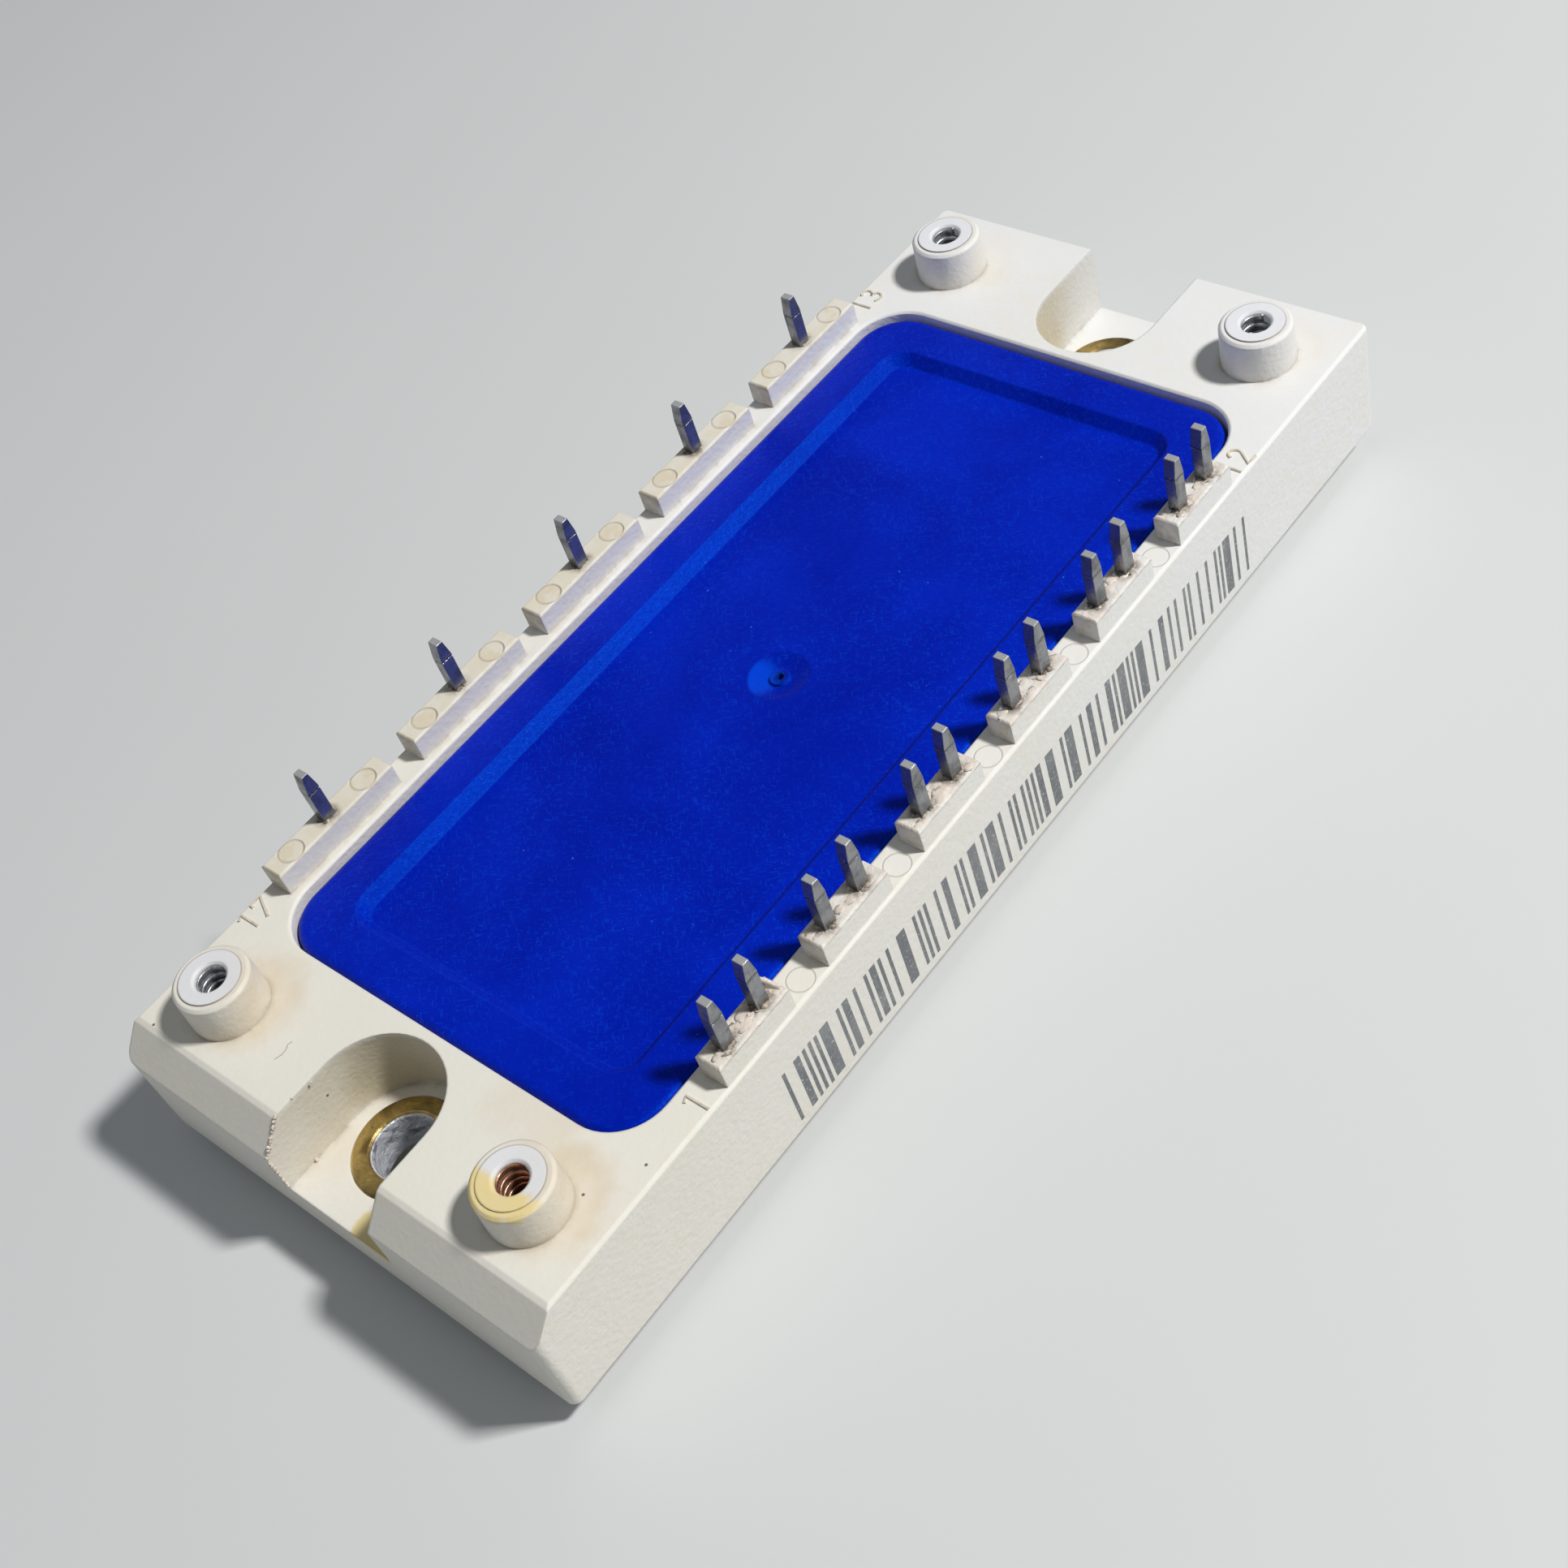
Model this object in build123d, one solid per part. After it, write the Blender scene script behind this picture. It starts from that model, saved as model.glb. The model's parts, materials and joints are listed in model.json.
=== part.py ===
"""A three-phase power module: a moulded frame with two terminal rows on a flat metal base.

All lengths are in millimetres. The origin lies under the middle of the module, on the plane
that the base plate rests on. +X runs along the module from terminal 1 to terminal 12, -Y is the
side of the twelve control terminals, +Y the side of the five power terminals, and +Z is up.
"""
from build123d import *
from math import dist
import os

# Moulded frame
FRAME_LENGTH = 107.5
FRAME_WIDTH = 45.0
FRAME_LIFT = 2.0
FRAME_HEIGHT = 11.2
FRAME_CORNER_R = 0.8
FRAME_EDGE = 0.25
END_SLOPE_RUN = 2.45
END_SLOPE_DROP = 2.6

# Base plate, let into the underside of the frame
PLATE_END_INSET = 1.0
PLATE_SIDE_INSET = 1.5
PLATE_THICKNESS = 3.0
PLATE_CORNER_R = 2.0
PLATE_EDGE = 0.25
PLATE_POCKET_GAP = 0.15

# Fixing holes, their brass bushes and the open notches above them
FIXING_INSET = 7.25
FIXING_HOLE_D = 5.5
BUSH_D = 8.9
BUSH_PROUD = 0.25
BUSH_EDGE = 0.25
NOTCH_WIDTH = 11.2
NOTCH_FLOOR_HEIGHT = 3.4
NOTCH_WALL = 0.9

# Circuit board bosses, level with the fixing holes along the module
BOSS_SIDE_INSET = 6.3
BOSS_FOOT_D = 6.4
BOSS_TOP_D = 6.2
BOSS_HEIGHT = 3.8
BOSS_EDGE = 0.25
BOSS_LAND_D = 5.0
BOSS_LAND_HEIGHT = 0.1
BOSS_HOLE_D = 2.5
BOSS_HOLE_DEPTH = 10.0
BOSS_MOUTH = 0.2

# Terminal rows and the moulded blocks that the terminals rise from
PAIR_COUNT = 6
PAIR_PITCH = 11.43
PAIR_GAUGE = 3.81
POWER_COUNT = 5
POWER_PITCH = 15.24
BLOCK_HEIGHT = 2.2
BLOCK_DEPTH = 2.3
BLOCK_SETBACK = 0.25
BLOCK_LEDGE = 0.75
BLOCK_EDGE = 0.15
PAIR_BLOCK_LENGTH = 7.6
POWER_BLOCK_LENGTH = 12.6

# Terminals
PIN_WIDTH = 1.15
PIN_THICKNESS = 1.0
PIN_TIP_WIDTH = 0.6
PIN_TIP_LENGTH = 1.6
PIN_ABOVE_BLOCK = 5.1
PIN_HEEL = 0.7
BOND_LEDGE_DEPTH = 4.6
BOND_LEDGE_WIDTH = 2.8
FOOT_SETBACK = 1.0

# Lid opening, with a seat all round above the cavity
OPENING_CORNER_R = 4.5
OPENING_EDGE = 0.2
SEAT_WIDTH = 0.8
CAVITY_CORNER_R = 2.0

# Lid
LID_SINK = 0.5
LID_GAP = 0.2
LID_WALL = 1.6
LID_EDGE_R = 0.7
PANEL_MARGIN = 4.0
PANEL_CORNER_R = 2.4
PANEL_DROP = 1.0
PANEL_SLOPE_RUN = 0.9
SKIRT_DEPTH = 1.4
SKIRT_WALL = 1.0
SKIRT_GAP = 0.15
DIMPLE_D = 5.1
DIMPLE_DEPTH = 0.45
NUB_D = 1.7
NUB_HEIGHT = 0.3
NUB_HOLE_D = 0.7

# Substrates side by side on the plate, each a ceramic tile between two copper layers
SUBSTRATE_COUNT = 3
SUBSTRATE_GAP = 1.0
SUBSTRATE_SIDE_GAP = 1.1
COPPER_MARGIN = 0.5
SOLDER_THICKNESS = 0.2
LOWER_COPPER_THICKNESS = 0.3
CERAMIC_THICKNESS = 0.4
UPPER_COPPER_THICKNESS = 0.3
TRACK_GAP = 0.8
STRIP_WIDTH = 1.5
BUS_RISER_WIDTH = 1.1
SIGNAL_WIDTH = 0.5
SIGNAL_GAP = 0.3
PAD_WIDTH = 2.4
PAD_DEPTH = 1.7
LANDING_DEPTH = 2.5

# Chips
CHIP_SOLDER_THICKNESS = 0.1
CHIP_THICKNESS = 0.25
CHIP_MARGIN = 0.9
CHIP_GAP = 2.4
IGBT_LENGTH = 7.0
DIODE_SIZE = 5.0

# Bond wires, and the gel that covers them
WIRE_D = 0.4
WIRE_LOOP = 0.9
WIRE_CROWN_START = 0.35
WIRE_CROWN_END = 0.6
WIRE_FOOT_LENGTH = 0.9
WIRE_INSET = 0.6
EMITTER_WIRE_COUNT = 3
EMITTER_WIRE_PITCH = 1.8
DIODE_WIRE_COUNT = 2
POWER_WIRE_COUNT = 2
POWER_WIRE_PITCH = 0.55
LINK_WIRE_COUNT = 2
LINK_WIRE_PITCH = 0.7
GEL_COVER = 0.6

# Heights that follow from the sizes above
frame_top = FRAME_LIFT + FRAME_HEIGHT
block_top = frame_top + BLOCK_HEIGHT
boss_top = frame_top + BOSS_HEIGHT
pin_tip = block_top + PIN_ABOVE_BLOCK
notch_floor = PLATE_THICKNESS + NOTCH_FLOOR_HEIGHT
bush_top = notch_floor + BUSH_PROUD
lid_top = frame_top - LID_SINK
lid_seat = lid_top - LID_WALL
bond_ledge = lid_seat - BOND_LEDGE_DEPTH
bond_face = bond_ledge + PIN_THICKNESS
wire_top = bond_face + WIRE_LOOP + WIRE_D
gel_top = wire_top + GEL_COVER
solder_top = PLATE_THICKNESS + SOLDER_THICKNESS
lower_copper_top = solder_top + LOWER_COPPER_THICKNESS
ceramic_top = lower_copper_top + CERAMIC_THICKNESS
copper_top = ceramic_top + UPPER_COPPER_THICKNESS
chip_solder_top = copper_top + CHIP_SOLDER_THICKNESS
chip_top = chip_solder_top + CHIP_THICKNESS
chip_wire_top = chip_top + WIRE_LOOP + WIRE_D
clear_above = pin_tip + BLOCK_HEIGHT

# Lengths and widths that follow
plate_length = FRAME_LENGTH - 2 * PLATE_END_INSET
plate_width = FRAME_WIDTH - 2 * PLATE_SIDE_INSET
row_y = FRAME_WIDTH / 2 - BLOCK_SETBACK - BLOCK_DEPTH / 2
fixing_x = FRAME_LENGTH / 2 - FIXING_INSET
boss_y = FRAME_WIDTH / 2 - BOSS_SIDE_INSET
opening_length = 2 * (fixing_x - NOTCH_WALL) - NOTCH_WIDTH
opening_width = 2 * (row_y - BLOCK_DEPTH / 2 - BLOCK_LEDGE)
lid_length = opening_length - 2 * LID_GAP
lid_width = opening_width - 2 * LID_GAP
cavity_length = opening_length - 2 * SEAT_WIDTH
cavity_width = opening_width - 2 * SEAT_WIDTH
well_width = cavity_width - 2 * BOND_LEDGE_WIDTH
foot_end_y = well_width / 2 + FOOT_SETBACK
foot_bond_y = (foot_end_y + cavity_width / 2) / 2
substrate_pitch = 2 * PAIR_PITCH
substrate_length = substrate_pitch - SUBSTRATE_GAP
substrate_width = well_width - 2 * SUBSTRATE_SIDE_GAP
copper_length = substrate_length - 2 * COPPER_MARGIN
copper_width = substrate_width - 2 * COPPER_MARGIN

# Places along the module
pair_x = [(k - (PAIR_COUNT - 1) / 2) * PAIR_PITCH for k in range(PAIR_COUNT)]
control_x = [x + side * PAIR_GAUGE / 2 for x in pair_x for side in (-1, 1)]
power_x = [((POWER_COUNT - 1) / 2 - k) * POWER_PITCH for k in range(POWER_COUNT)]
substrate_x = [(k - (SUBSTRATE_COUNT - 1) / 2) * substrate_pitch for k in range(SUBSTRATE_COUNT)]
boss_places = [(x, y) for x in (-fixing_x, fixing_x) for y in (-boss_y, boss_y)]

# Edges of the copper tracks, seen from the middle of their substrate
right = copper_length / 2
back = copper_width / 2
pad_back = PAD_DEPTH - back
sense_front = pad_back + SIGNAL_GAP
sense_back = sense_front + SIGNAL_WIDTH
high_front = sense_back + SIGNAL_GAP
bus_front = back - STRIP_WIDTH
return_back = bus_front - TRACK_GAP
return_front = return_back - STRIP_WIDTH
phase_back = return_front - TRACK_GAP
igbt_depth = (phase_back - STRIP_WIDTH - LANDING_DEPTH - TRACK_GAP - high_front) / 2 - CHIP_MARGIN
high_back = high_front + igbt_depth + 2 * CHIP_MARGIN
phase_front = high_back + TRACK_GAP
bus_riser_right = BUS_RISER_WIDTH - right
field_left = bus_riser_right + TRACK_GAP
gate_riser_left = right - SIGNAL_WIDTH
sense_riser_right = gate_riser_left - SIGNAL_GAP
sense_riser_left = sense_riser_right - SIGNAL_WIDTH
field_right = sense_riser_left - SIGNAL_GAP
pad_x = [side * PAIR_PITCH / 2 + half * PAIR_GAUGE / 2 for side in (-1, 1) for half in (-1, 1)]
pad_y = pad_back - PAD_DEPTH / 2

# Places of the chips on their substrate: the high side in front, the low side behind it
high_y = (high_front + high_back) / 2
low_y = phase_back - STRIP_WIDTH - igbt_depth / 2
chip_step = (IGBT_LENGTH + DIODE_SIZE) / 2 + CHIP_GAP
left_chip_x = (field_left + field_right - chip_step) / 2
right_chip_x = left_chip_x + chip_step
igbt_places = [(left_chip_x, high_y), (right_chip_x, low_y)]
igbt_area = (IGBT_LENGTH, igbt_depth)
diode_places = [(right_chip_x, high_y), (left_chip_x, low_y)]
diode_area = (DIODE_SIZE, DIODE_SIZE)


def rounded_block(length, width, radius, low, high):
    """A block round the origin, with rounded upright edges, between two heights."""
    return extrude(Plane.XY.offset(low) * RectangleRounded(length, width, radius), high - low)


def block_between(x0, x1, y0, y1, low, high):
    """A block between two corners."""
    middle = ((x0 + x1) / 2, (y0 + y1) / 2, (low + high) / 2)
    return Pos(*middle) * Box(x1 - x0, y1 - y0, high - low)


def post(x, y, diameter, low, high):
    """An upright cylinder between two heights."""
    return Pos(x, y, (low + high) / 2) * Cylinder(diameter / 2, high - low)


def spread(count, pitch):
    """The offsets of a few like things, evenly spaced about their middle."""
    return [(k - (count - 1) / 2) * pitch for k in range(count)]


def level_edges(shape, height):
    """The edges of a shape that lie flat at one height."""
    nearly = BOSS_LAND_HEIGHT / 10
    found = []
    for edge in shape.edges():
        box = edge.bounding_box()
        if abs(box.min.Z - height) < nearly and abs(box.max.Z - height) < nearly:
            found.append(edge)
    return found


def frame_body():
    """The outer block of the frame, with the slope along its top edge at the terminal 1 end."""
    body = rounded_block(FRAME_LENGTH, FRAME_WIDTH, FRAME_CORNER_R, FRAME_LIFT, frame_top)
    end = -FRAME_LENGTH / 2
    low_corner = (end - END_SLOPE_RUN, frame_top - 2 * END_SLOPE_DROP)
    high_corner = (end + 2 * END_SLOPE_RUN, frame_top + END_SLOPE_DROP)
    outside = (end - END_SLOPE_RUN, frame_top + END_SLOPE_DROP)
    wedge = Plane.XZ * make_face(Polyline(low_corner, high_corner, outside, close=True))
    body -= extrude(wedge, FRAME_WIDTH, both=True)
    return chamfer(level_edges(body, frame_top) + level_edges(body, FRAME_LIFT), FRAME_EDGE)


def fixing_notch(side):
    """The open U above a fixing hole, with the round seat of its bush below."""
    well = post(side * fixing_x, 0, NOTCH_WIDTH, notch_floor, clear_above)
    seat = post(side * fixing_x, 0, BUSH_D, 0, notch_floor)
    low_x, high_x = sorted((side * fixing_x, side * (FRAME_LENGTH - fixing_x)))
    half = NOTCH_WIDTH / 2
    return well + seat + block_between(low_x, high_x, -half, half, notch_floor, clear_above)


def terminal_block(x, side, length):
    """A raised moulded block round the terminals, with its top edges broken."""
    half = length / 2
    y = side * row_y
    block = block_between(x - half, x + half, y - BLOCK_DEPTH / 2, y + BLOCK_DEPTH / 2, frame_top, block_top)
    return chamfer(level_edges(block, block_top), BLOCK_EDGE)


def screw_boss(x, y):
    """A round boss for a circuit board screw, with a thin raised land round its hole."""
    body_height = BOSS_HEIGHT - BOSS_LAND_HEIGHT
    body = Cone(BOSS_FOOT_D / 2, BOSS_TOP_D / 2, body_height)
    body = chamfer(body.edges().sort_by(Axis.Z)[-1], BOSS_EDGE)
    body = Pos(x, y, frame_top + body_height / 2) * body
    return body + post(x, y, BOSS_LAND_D, frame_top + body_height / 2, boss_top)


def screw_hole(x, y):
    """The blind pilot hole in a boss, with a small bevel at its mouth."""
    hole_r = BOSS_HOLE_D / 2
    bevel = Pos(x, y, boss_top - BOSS_MOUTH / 2) * Cone(hole_r, hole_r + BOSS_MOUTH, BOSS_MOUTH)
    return post(x, y, BOSS_HOLE_D, boss_top - BOSS_HOLE_DEPTH, boss_top) + bevel


def housing_frame(pins):
    """The one-piece moulded frame, with the terminals moulded into it."""
    frame = frame_body()
    frame -= rounded_block(opening_length, opening_width, OPENING_CORNER_R, lid_seat, clear_above)
    lip = [edge for edge in level_edges(frame, frame_top)
           if abs(edge.center().X) < (opening_length + OPENING_EDGE) / 2
           and abs(edge.center().Y) < (opening_width + OPENING_EDGE) / 2]
    frame = chamfer(lip, OPENING_EDGE)
    frame -= rounded_block(cavity_length, cavity_width, CAVITY_CORNER_R, bond_ledge, lid_seat)
    frame -= rounded_block(cavity_length, well_width, CAVITY_CORNER_R, 0, bond_ledge)
    pocket = (plate_length + 2 * PLATE_POCKET_GAP, plate_width + 2 * PLATE_POCKET_GAP)
    frame -= rounded_block(*pocket, PLATE_CORNER_R, 0, PLATE_THICKNESS)
    frame -= [fixing_notch(side) for side in (-1, 1)]
    frame += [terminal_block(x, -1, PAIR_BLOCK_LENGTH) for x in pair_x]
    frame += [terminal_block(x, 1, POWER_BLOCK_LENGTH) for x in power_x]
    frame += [screw_boss(x, y) for x, y in boss_places]
    frame -= [screw_hole(x, y) for x, y in boss_places]
    return frame - pins


def terminal(x, side):
    """A stamped terminal: an upright blade with a narrowed tip and a foot that points inwards."""
    outer = PIN_THICKNESS / 2
    reach = foot_end_y - row_y
    corners = [(outer, pin_tip), (outer, bond_ledge), (reach, bond_ledge), (reach, bond_face),
               (-outer, bond_face), (-outer, pin_tip)]
    section = make_face(Polyline(*corners, close=True))
    section = chamfer(section.vertices().sort_by_distance((outer, bond_ledge))[0], PIN_HEEL)
    blade = extrude(Plane.YZ * section, PIN_WIDTH / 2, both=True)
    for hand in (-1, 1):
        tip_edge = [(hand * PIN_TIP_WIDTH / 2, pin_tip), (hand * PIN_WIDTH, pin_tip),
                    (hand * PIN_WIDTH, pin_tip - PIN_TIP_LENGTH),
                    (hand * PIN_WIDTH / 2, pin_tip - PIN_TIP_LENGTH)]
        blade -= extrude(Plane.XZ * make_face(Polyline(*tip_edge, close=True)), PIN_THICKNESS, both=True)
    turn = 0 if side > 0 else 180
    return Pos(x, side * row_y, 0) * Rot(0, 0, turn) * blade


def lid():
    """The blue lid: a dished plate of even wall, with a skirt that centres it in the cavity."""
    plate = rounded_block(lid_length, lid_width, OPENING_CORNER_R - LID_GAP, lid_seat, lid_top)
    plate = fillet(level_edges(plate, lid_top), LID_EDGE_R)
    mouth_size = (lid_length - 2 * PANEL_MARGIN, lid_width - 2 * PANEL_MARGIN)
    floor_size = [size - 2 * PANEL_SLOPE_RUN for size in mouth_size]
    panel_top = lid_top - PANEL_DROP
    pan = rounded_block(*mouth_size, PANEL_CORNER_R, panel_top - LID_WALL, lid_seat)
    mouth = Plane.XY.offset(lid_top) * RectangleRounded(*mouth_size, PANEL_CORNER_R)
    floor = Plane.XY.offset(panel_top) * RectangleRounded(*floor_size, PANEL_CORNER_R - PANEL_SLOPE_RUN)
    part = plate + pan - loft([floor, mouth])
    skirt_size = (cavity_length - 2 * SKIRT_GAP, cavity_width - 2 * SKIRT_GAP)
    inside_size = [size - 2 * SKIRT_WALL for size in skirt_size]
    skirt_low = lid_seat - SKIRT_DEPTH
    skirt_r = CAVITY_CORNER_R - SKIRT_GAP
    skirt = rounded_block(*skirt_size, skirt_r, skirt_low, lid_seat)
    part += skirt - rounded_block(*inside_size, skirt_r - SKIRT_WALL, skirt_low, lid_seat)
    dimple_r = ((DIMPLE_D / 2) ** 2 + DIMPLE_DEPTH ** 2) / (2 * DIMPLE_DEPTH)
    dimple_low = panel_top - DIMPLE_DEPTH
    part -= Pos(0, 0, dimple_low + dimple_r) * Sphere(dimple_r)
    nub_low = panel_top - LID_WALL / 2
    part += post(0, 0, NUB_D, nub_low, dimple_low + NUB_HEIGHT)
    return part - post(0, 0, NUB_HOLE_D, nub_low, dimple_low + NUB_HEIGHT)


def base_plate():
    """The nickel-plated copper plate that carries the module and spreads its heat."""
    plate = rounded_block(plate_length, plate_width, PLATE_CORNER_R, 0, PLATE_THICKNESS)
    plate = chamfer(level_edges(plate, 0), PLATE_EDGE)
    return plate - [post(side * fixing_x, 0, FIXING_HOLE_D, 0, PLATE_THICKNESS) for side in (-1, 1)]


def mounting_bush(side):
    """A brass bush in the notch floor that takes the force of the fixing screw."""
    ring = post(0, 0, BUSH_D, PLATE_THICKNESS, bush_top)
    ring -= post(0, 0, FIXING_HOLE_D, PLATE_THICKNESS, bush_top)
    return Pos(side * fixing_x, 0, 0) * chamfer(level_edges(ring, bush_top), BUSH_EDGE)


def copper_tracks(x):
    """The etched upper copper of one substrate: bus, phase, return and signal tracks."""
    def field(x0, x1, y0, y1):
        return block_between(x + x0, x + x1, y0, y1, ceramic_top, copper_top)

    def pad(k):
        return field(pad_x[k] - PAD_WIDTH / 2, pad_x[k] + PAD_WIDTH / 2, -back, pad_back)

    bus = field(-right, field_right, high_front, high_back)
    bus += [field(-right, bus_riser_right, high_back, back), field(-right, right, bus_front, back)]
    phase = field(field_left, field_right, phase_front, phase_back)
    bus_return = field(field_left, right, return_front, return_back)
    sense = pad(2) + field(pad_x[2] - PAD_WIDTH / 2, pad_x[2] + PAD_WIDTH / 2, pad_back, sense_back)
    sense += field(pad_x[2], sense_riser_right, sense_front, sense_back)
    sense += field(sense_riser_left, sense_riser_right, sense_front, low_y)
    gate = pad(3) + field(pad_x[3], right, -back, pad_y)
    gate += field(gate_riser_left, right, -back, low_y)
    return Compound(children=[bus, phase, bus_return, pad(0), pad(1), sense, gate])


def chip_layer(x, place, size, low, high):
    """A chip, or the solder under it, at its place on the substrate that is centred on x."""
    middle = (x + place[0], place[1], (low + high) / 2)
    return Pos(*middle) * Box(*size, high - low)


def chip_solder(x):
    """The thin solder layers under the four chips of one substrate."""
    spots = [(place, igbt_area) for place in igbt_places] + [(place, diode_area) for place in diode_places]
    layers = [chip_layer(x, place, size, copper_top, chip_solder_top) for place, size in spots]
    return Compound(children=layers)


def bond_wire(start, end):
    """A bond wire: pressed flat at both ends, with a flat-topped loop between them."""
    run = dist(start[:2], end[:2])
    climb = end[2] - start[2]
    half_foot = WIRE_FOOT_LENGTH / 2
    crown = max(climb, 0) + WIRE_LOOP
    spine = Polyline((-half_foot, 0), (half_foot, 0), (run * WIRE_CROWN_START, crown),
                     (run * WIRE_CROWN_END, crown), (run - half_foot, climb), (run + half_foot, climb))
    band = make_face(offset(spine, WIRE_D, kind=Kind.INTERSECTION, side=Side.LEFT))
    along = Vector((end[0] - start[0]) / run, (end[1] - start[1]) / run, 0)
    upright = Plane(origin=start, x_dir=along, z_dir=along.cross(Vector(0, 0, 1)))
    return extrude(upright * band, WIRE_D / 2, both=True)


def terminal_wires():
    """The wires from the feet of the terminals to the copper of the substrates."""
    wires = []
    pads = [x + dx for x in substrate_x for dx in pad_x]
    for foot_x, x in zip(control_x, pads):
        wires.append(bond_wire((foot_x, -foot_bond_y, bond_face), (x, pad_y, copper_top)))
    bus_y = (bus_front + back) / 2
    return_y = (return_front + return_back) / 2
    phase_y = phase_back - STRIP_WIDTH / 2
    landings = [return_y] + [phase_y] * (POWER_COUNT - 2) + [bus_y]
    for foot_x, y in zip(power_x, landings):
        for dx in spread(POWER_WIRE_COUNT, POWER_WIRE_PITCH):
            wires.append(bond_wire((foot_x + dx, foot_bond_y, bond_face), (foot_x + dx, y, copper_top)))
    return Compound(children=wires)


def chip_wires(x):
    """The load wires of one substrate, from the chips to the phase and return tracks."""
    wires = []
    phase_y = phase_front + WIRE_FOOT_LENGTH
    return_y = (return_front + return_back) / 2
    for places, count in ((igbt_places, EMITTER_WIRE_COUNT), (diode_places, DIODE_WIRE_COUNT)):
        for (dx, y), landing in zip(places, (phase_y, return_y)):
            for step in spread(count, EMITTER_WIRE_PITCH):
                wires.append(bond_wire((x + dx + step, y, chip_top), (x + dx + step, landing, copper_top)))
    return Compound(children=wires)


def signal_wires(x):
    """The gate and sense wires of one substrate."""
    high_x, high_mid = igbt_places[0]
    low_x, low_mid = igbt_places[1]
    front_y = high_mid - igbt_depth / 2 + WIRE_INSET
    side_x = low_x + IGBT_LENGTH / 2 - WIRE_INSET
    gate_x = high_x - IGBT_LENGTH / 2 + WIRE_INSET
    sense_x = pad_x[1] + LINK_WIRE_PITCH
    sense_y = low_mid - WIRE_FOOT_LENGTH
    gate_y = sense_y - EMITTER_WIRE_PITCH / 2
    sense_riser_x = (sense_riser_left + sense_riser_right) / 2
    gate_riser_x = (gate_riser_left + right) / 2
    return Compound(children=[
        bond_wire((x + gate_x, front_y, chip_top), (x + gate_x, pad_y, copper_top)),
        bond_wire((x + sense_x, front_y, chip_top), (x + sense_x, pad_y, copper_top)),
        bond_wire((x + side_x, sense_y, chip_top), (x + sense_riser_x, sense_y, copper_top)),
        bond_wire((x + side_x, gate_y, chip_top), (x + gate_riser_x, gate_y, copper_top))])


def link_wires():
    """The wires that carry the bus and return tracks from one substrate to the next."""
    wires = []
    strips = [((bus_front + back) / 2, -right), ((return_front + return_back) / 2, field_left)]
    for before, after in zip(substrate_x, substrate_x[1:]):
        for strip_y, strip_start in strips:
            for dy in spread(LINK_WIRE_COUNT, LINK_WIRE_PITCH):
                start = (before + right - WIRE_INSET, strip_y + dy, copper_top)
                end = (after + strip_start + WIRE_INSET, strip_y + dy, copper_top)
                wires.append(bond_wire(start, end))
    return Compound(children=wires)


def silicone_gel():
    """The soft gel poured over the chips, wires and terminal feet, with plain rooms round them."""
    well = rounded_block(cavity_length, well_width, CAVITY_CORNER_R, PLATE_THICKNESS, bond_ledge)
    gel = well + rounded_block(cavity_length, cavity_width, CAVITY_CORNER_R, bond_ledge, gel_top)
    half_x = SUBSTRATE_COUNT * substrate_pitch / 2
    half_y = cavity_width / 2
    front_end = pad_y + WIRE_FOOT_LENGTH
    back_start = phase_back - STRIP_WIDTH
    return gel - [block_between(-half_x, half_x, -half_y, half_y, PLATE_THICKNESS, chip_wire_top),
                  block_between(-half_x, half_x, -half_y, front_end, PLATE_THICKNESS, wire_top),
                  block_between(-half_x, half_x, back_start, half_y, PLATE_THICKNESS, wire_top)]


def module():
    """Every piece of the module, by the name of its node."""
    pieces = {}
    places = [(x, -1) for x in control_x] + [(x, 1) for x in power_x]
    for number, (x, side) in enumerate(places, start=1):
        pieces[f"terminal_pin_{number:02d}"] = terminal(x, side)
    pieces["housing_frame"] = housing_frame(list(pieces.values()))
    pieces["lid"] = lid()
    pieces["base_plate"] = base_plate()
    pieces["mounting_bush_near"] = mounting_bush(-1)
    pieces["mounting_bush_far"] = mounting_bush(1)
    half_copper = (copper_length / 2, copper_width / 2)
    half_tile = (substrate_length / 2, substrate_width / 2)
    layers = [("substrate_solder", half_copper, PLATE_THICKNESS, solder_top),
              ("lower_copper", half_copper, solder_top, lower_copper_top),
              ("ceramic_tile", half_tile, lower_copper_top, ceramic_top)]
    for number, x in enumerate(substrate_x, start=1):
        for name, (half_x, half_y), low, high in layers:
            layer = block_between(x - half_x, x + half_x, -half_y, half_y, low, high)
            pieces[f"{name}_{number}"] = layer
        pieces[f"upper_copper_{number}"] = copper_tracks(x)
        pieces[f"chip_solder_{number}"] = chip_solder(x)
        for side, (igbt_place, diode_place) in enumerate(zip(igbt_places, diode_places)):
            chip_number = 2 * number - 1 + side
            igbt = chip_layer(x, igbt_place, igbt_area, chip_solder_top, chip_top)
            diode = chip_layer(x, diode_place, diode_area, chip_solder_top, chip_top)
            pieces[f"igbt_chip_{chip_number}"] = igbt
            pieces[f"diode_chip_{chip_number}"] = diode
        pieces[f"chip_wires_{number}"] = chip_wires(x)
        pieces[f"signal_wires_{number}"] = signal_wires(x)
    pieces["terminal_wires"] = terminal_wires()
    pieces["link_wires"] = link_wires()
    pieces["silicone_gel"] = silicone_gel()
    return pieces


def main():
    os.makedirs("parts", exist_ok=True)
    for name, piece in module().items():
        export_step(piece, f"parts/{name}.step")


main()
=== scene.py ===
"""Looks of the power module: finishes, moulded marks, solder traces, threads, light and camera.

Everything is placed in the module's own frame. Lengths named here are in millimetres and are
turned into metres where they meet Blender.
"""
import json
import math
import random
import bmesh
import bpy
from mathutils import Matrix, Vector, noise

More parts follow.
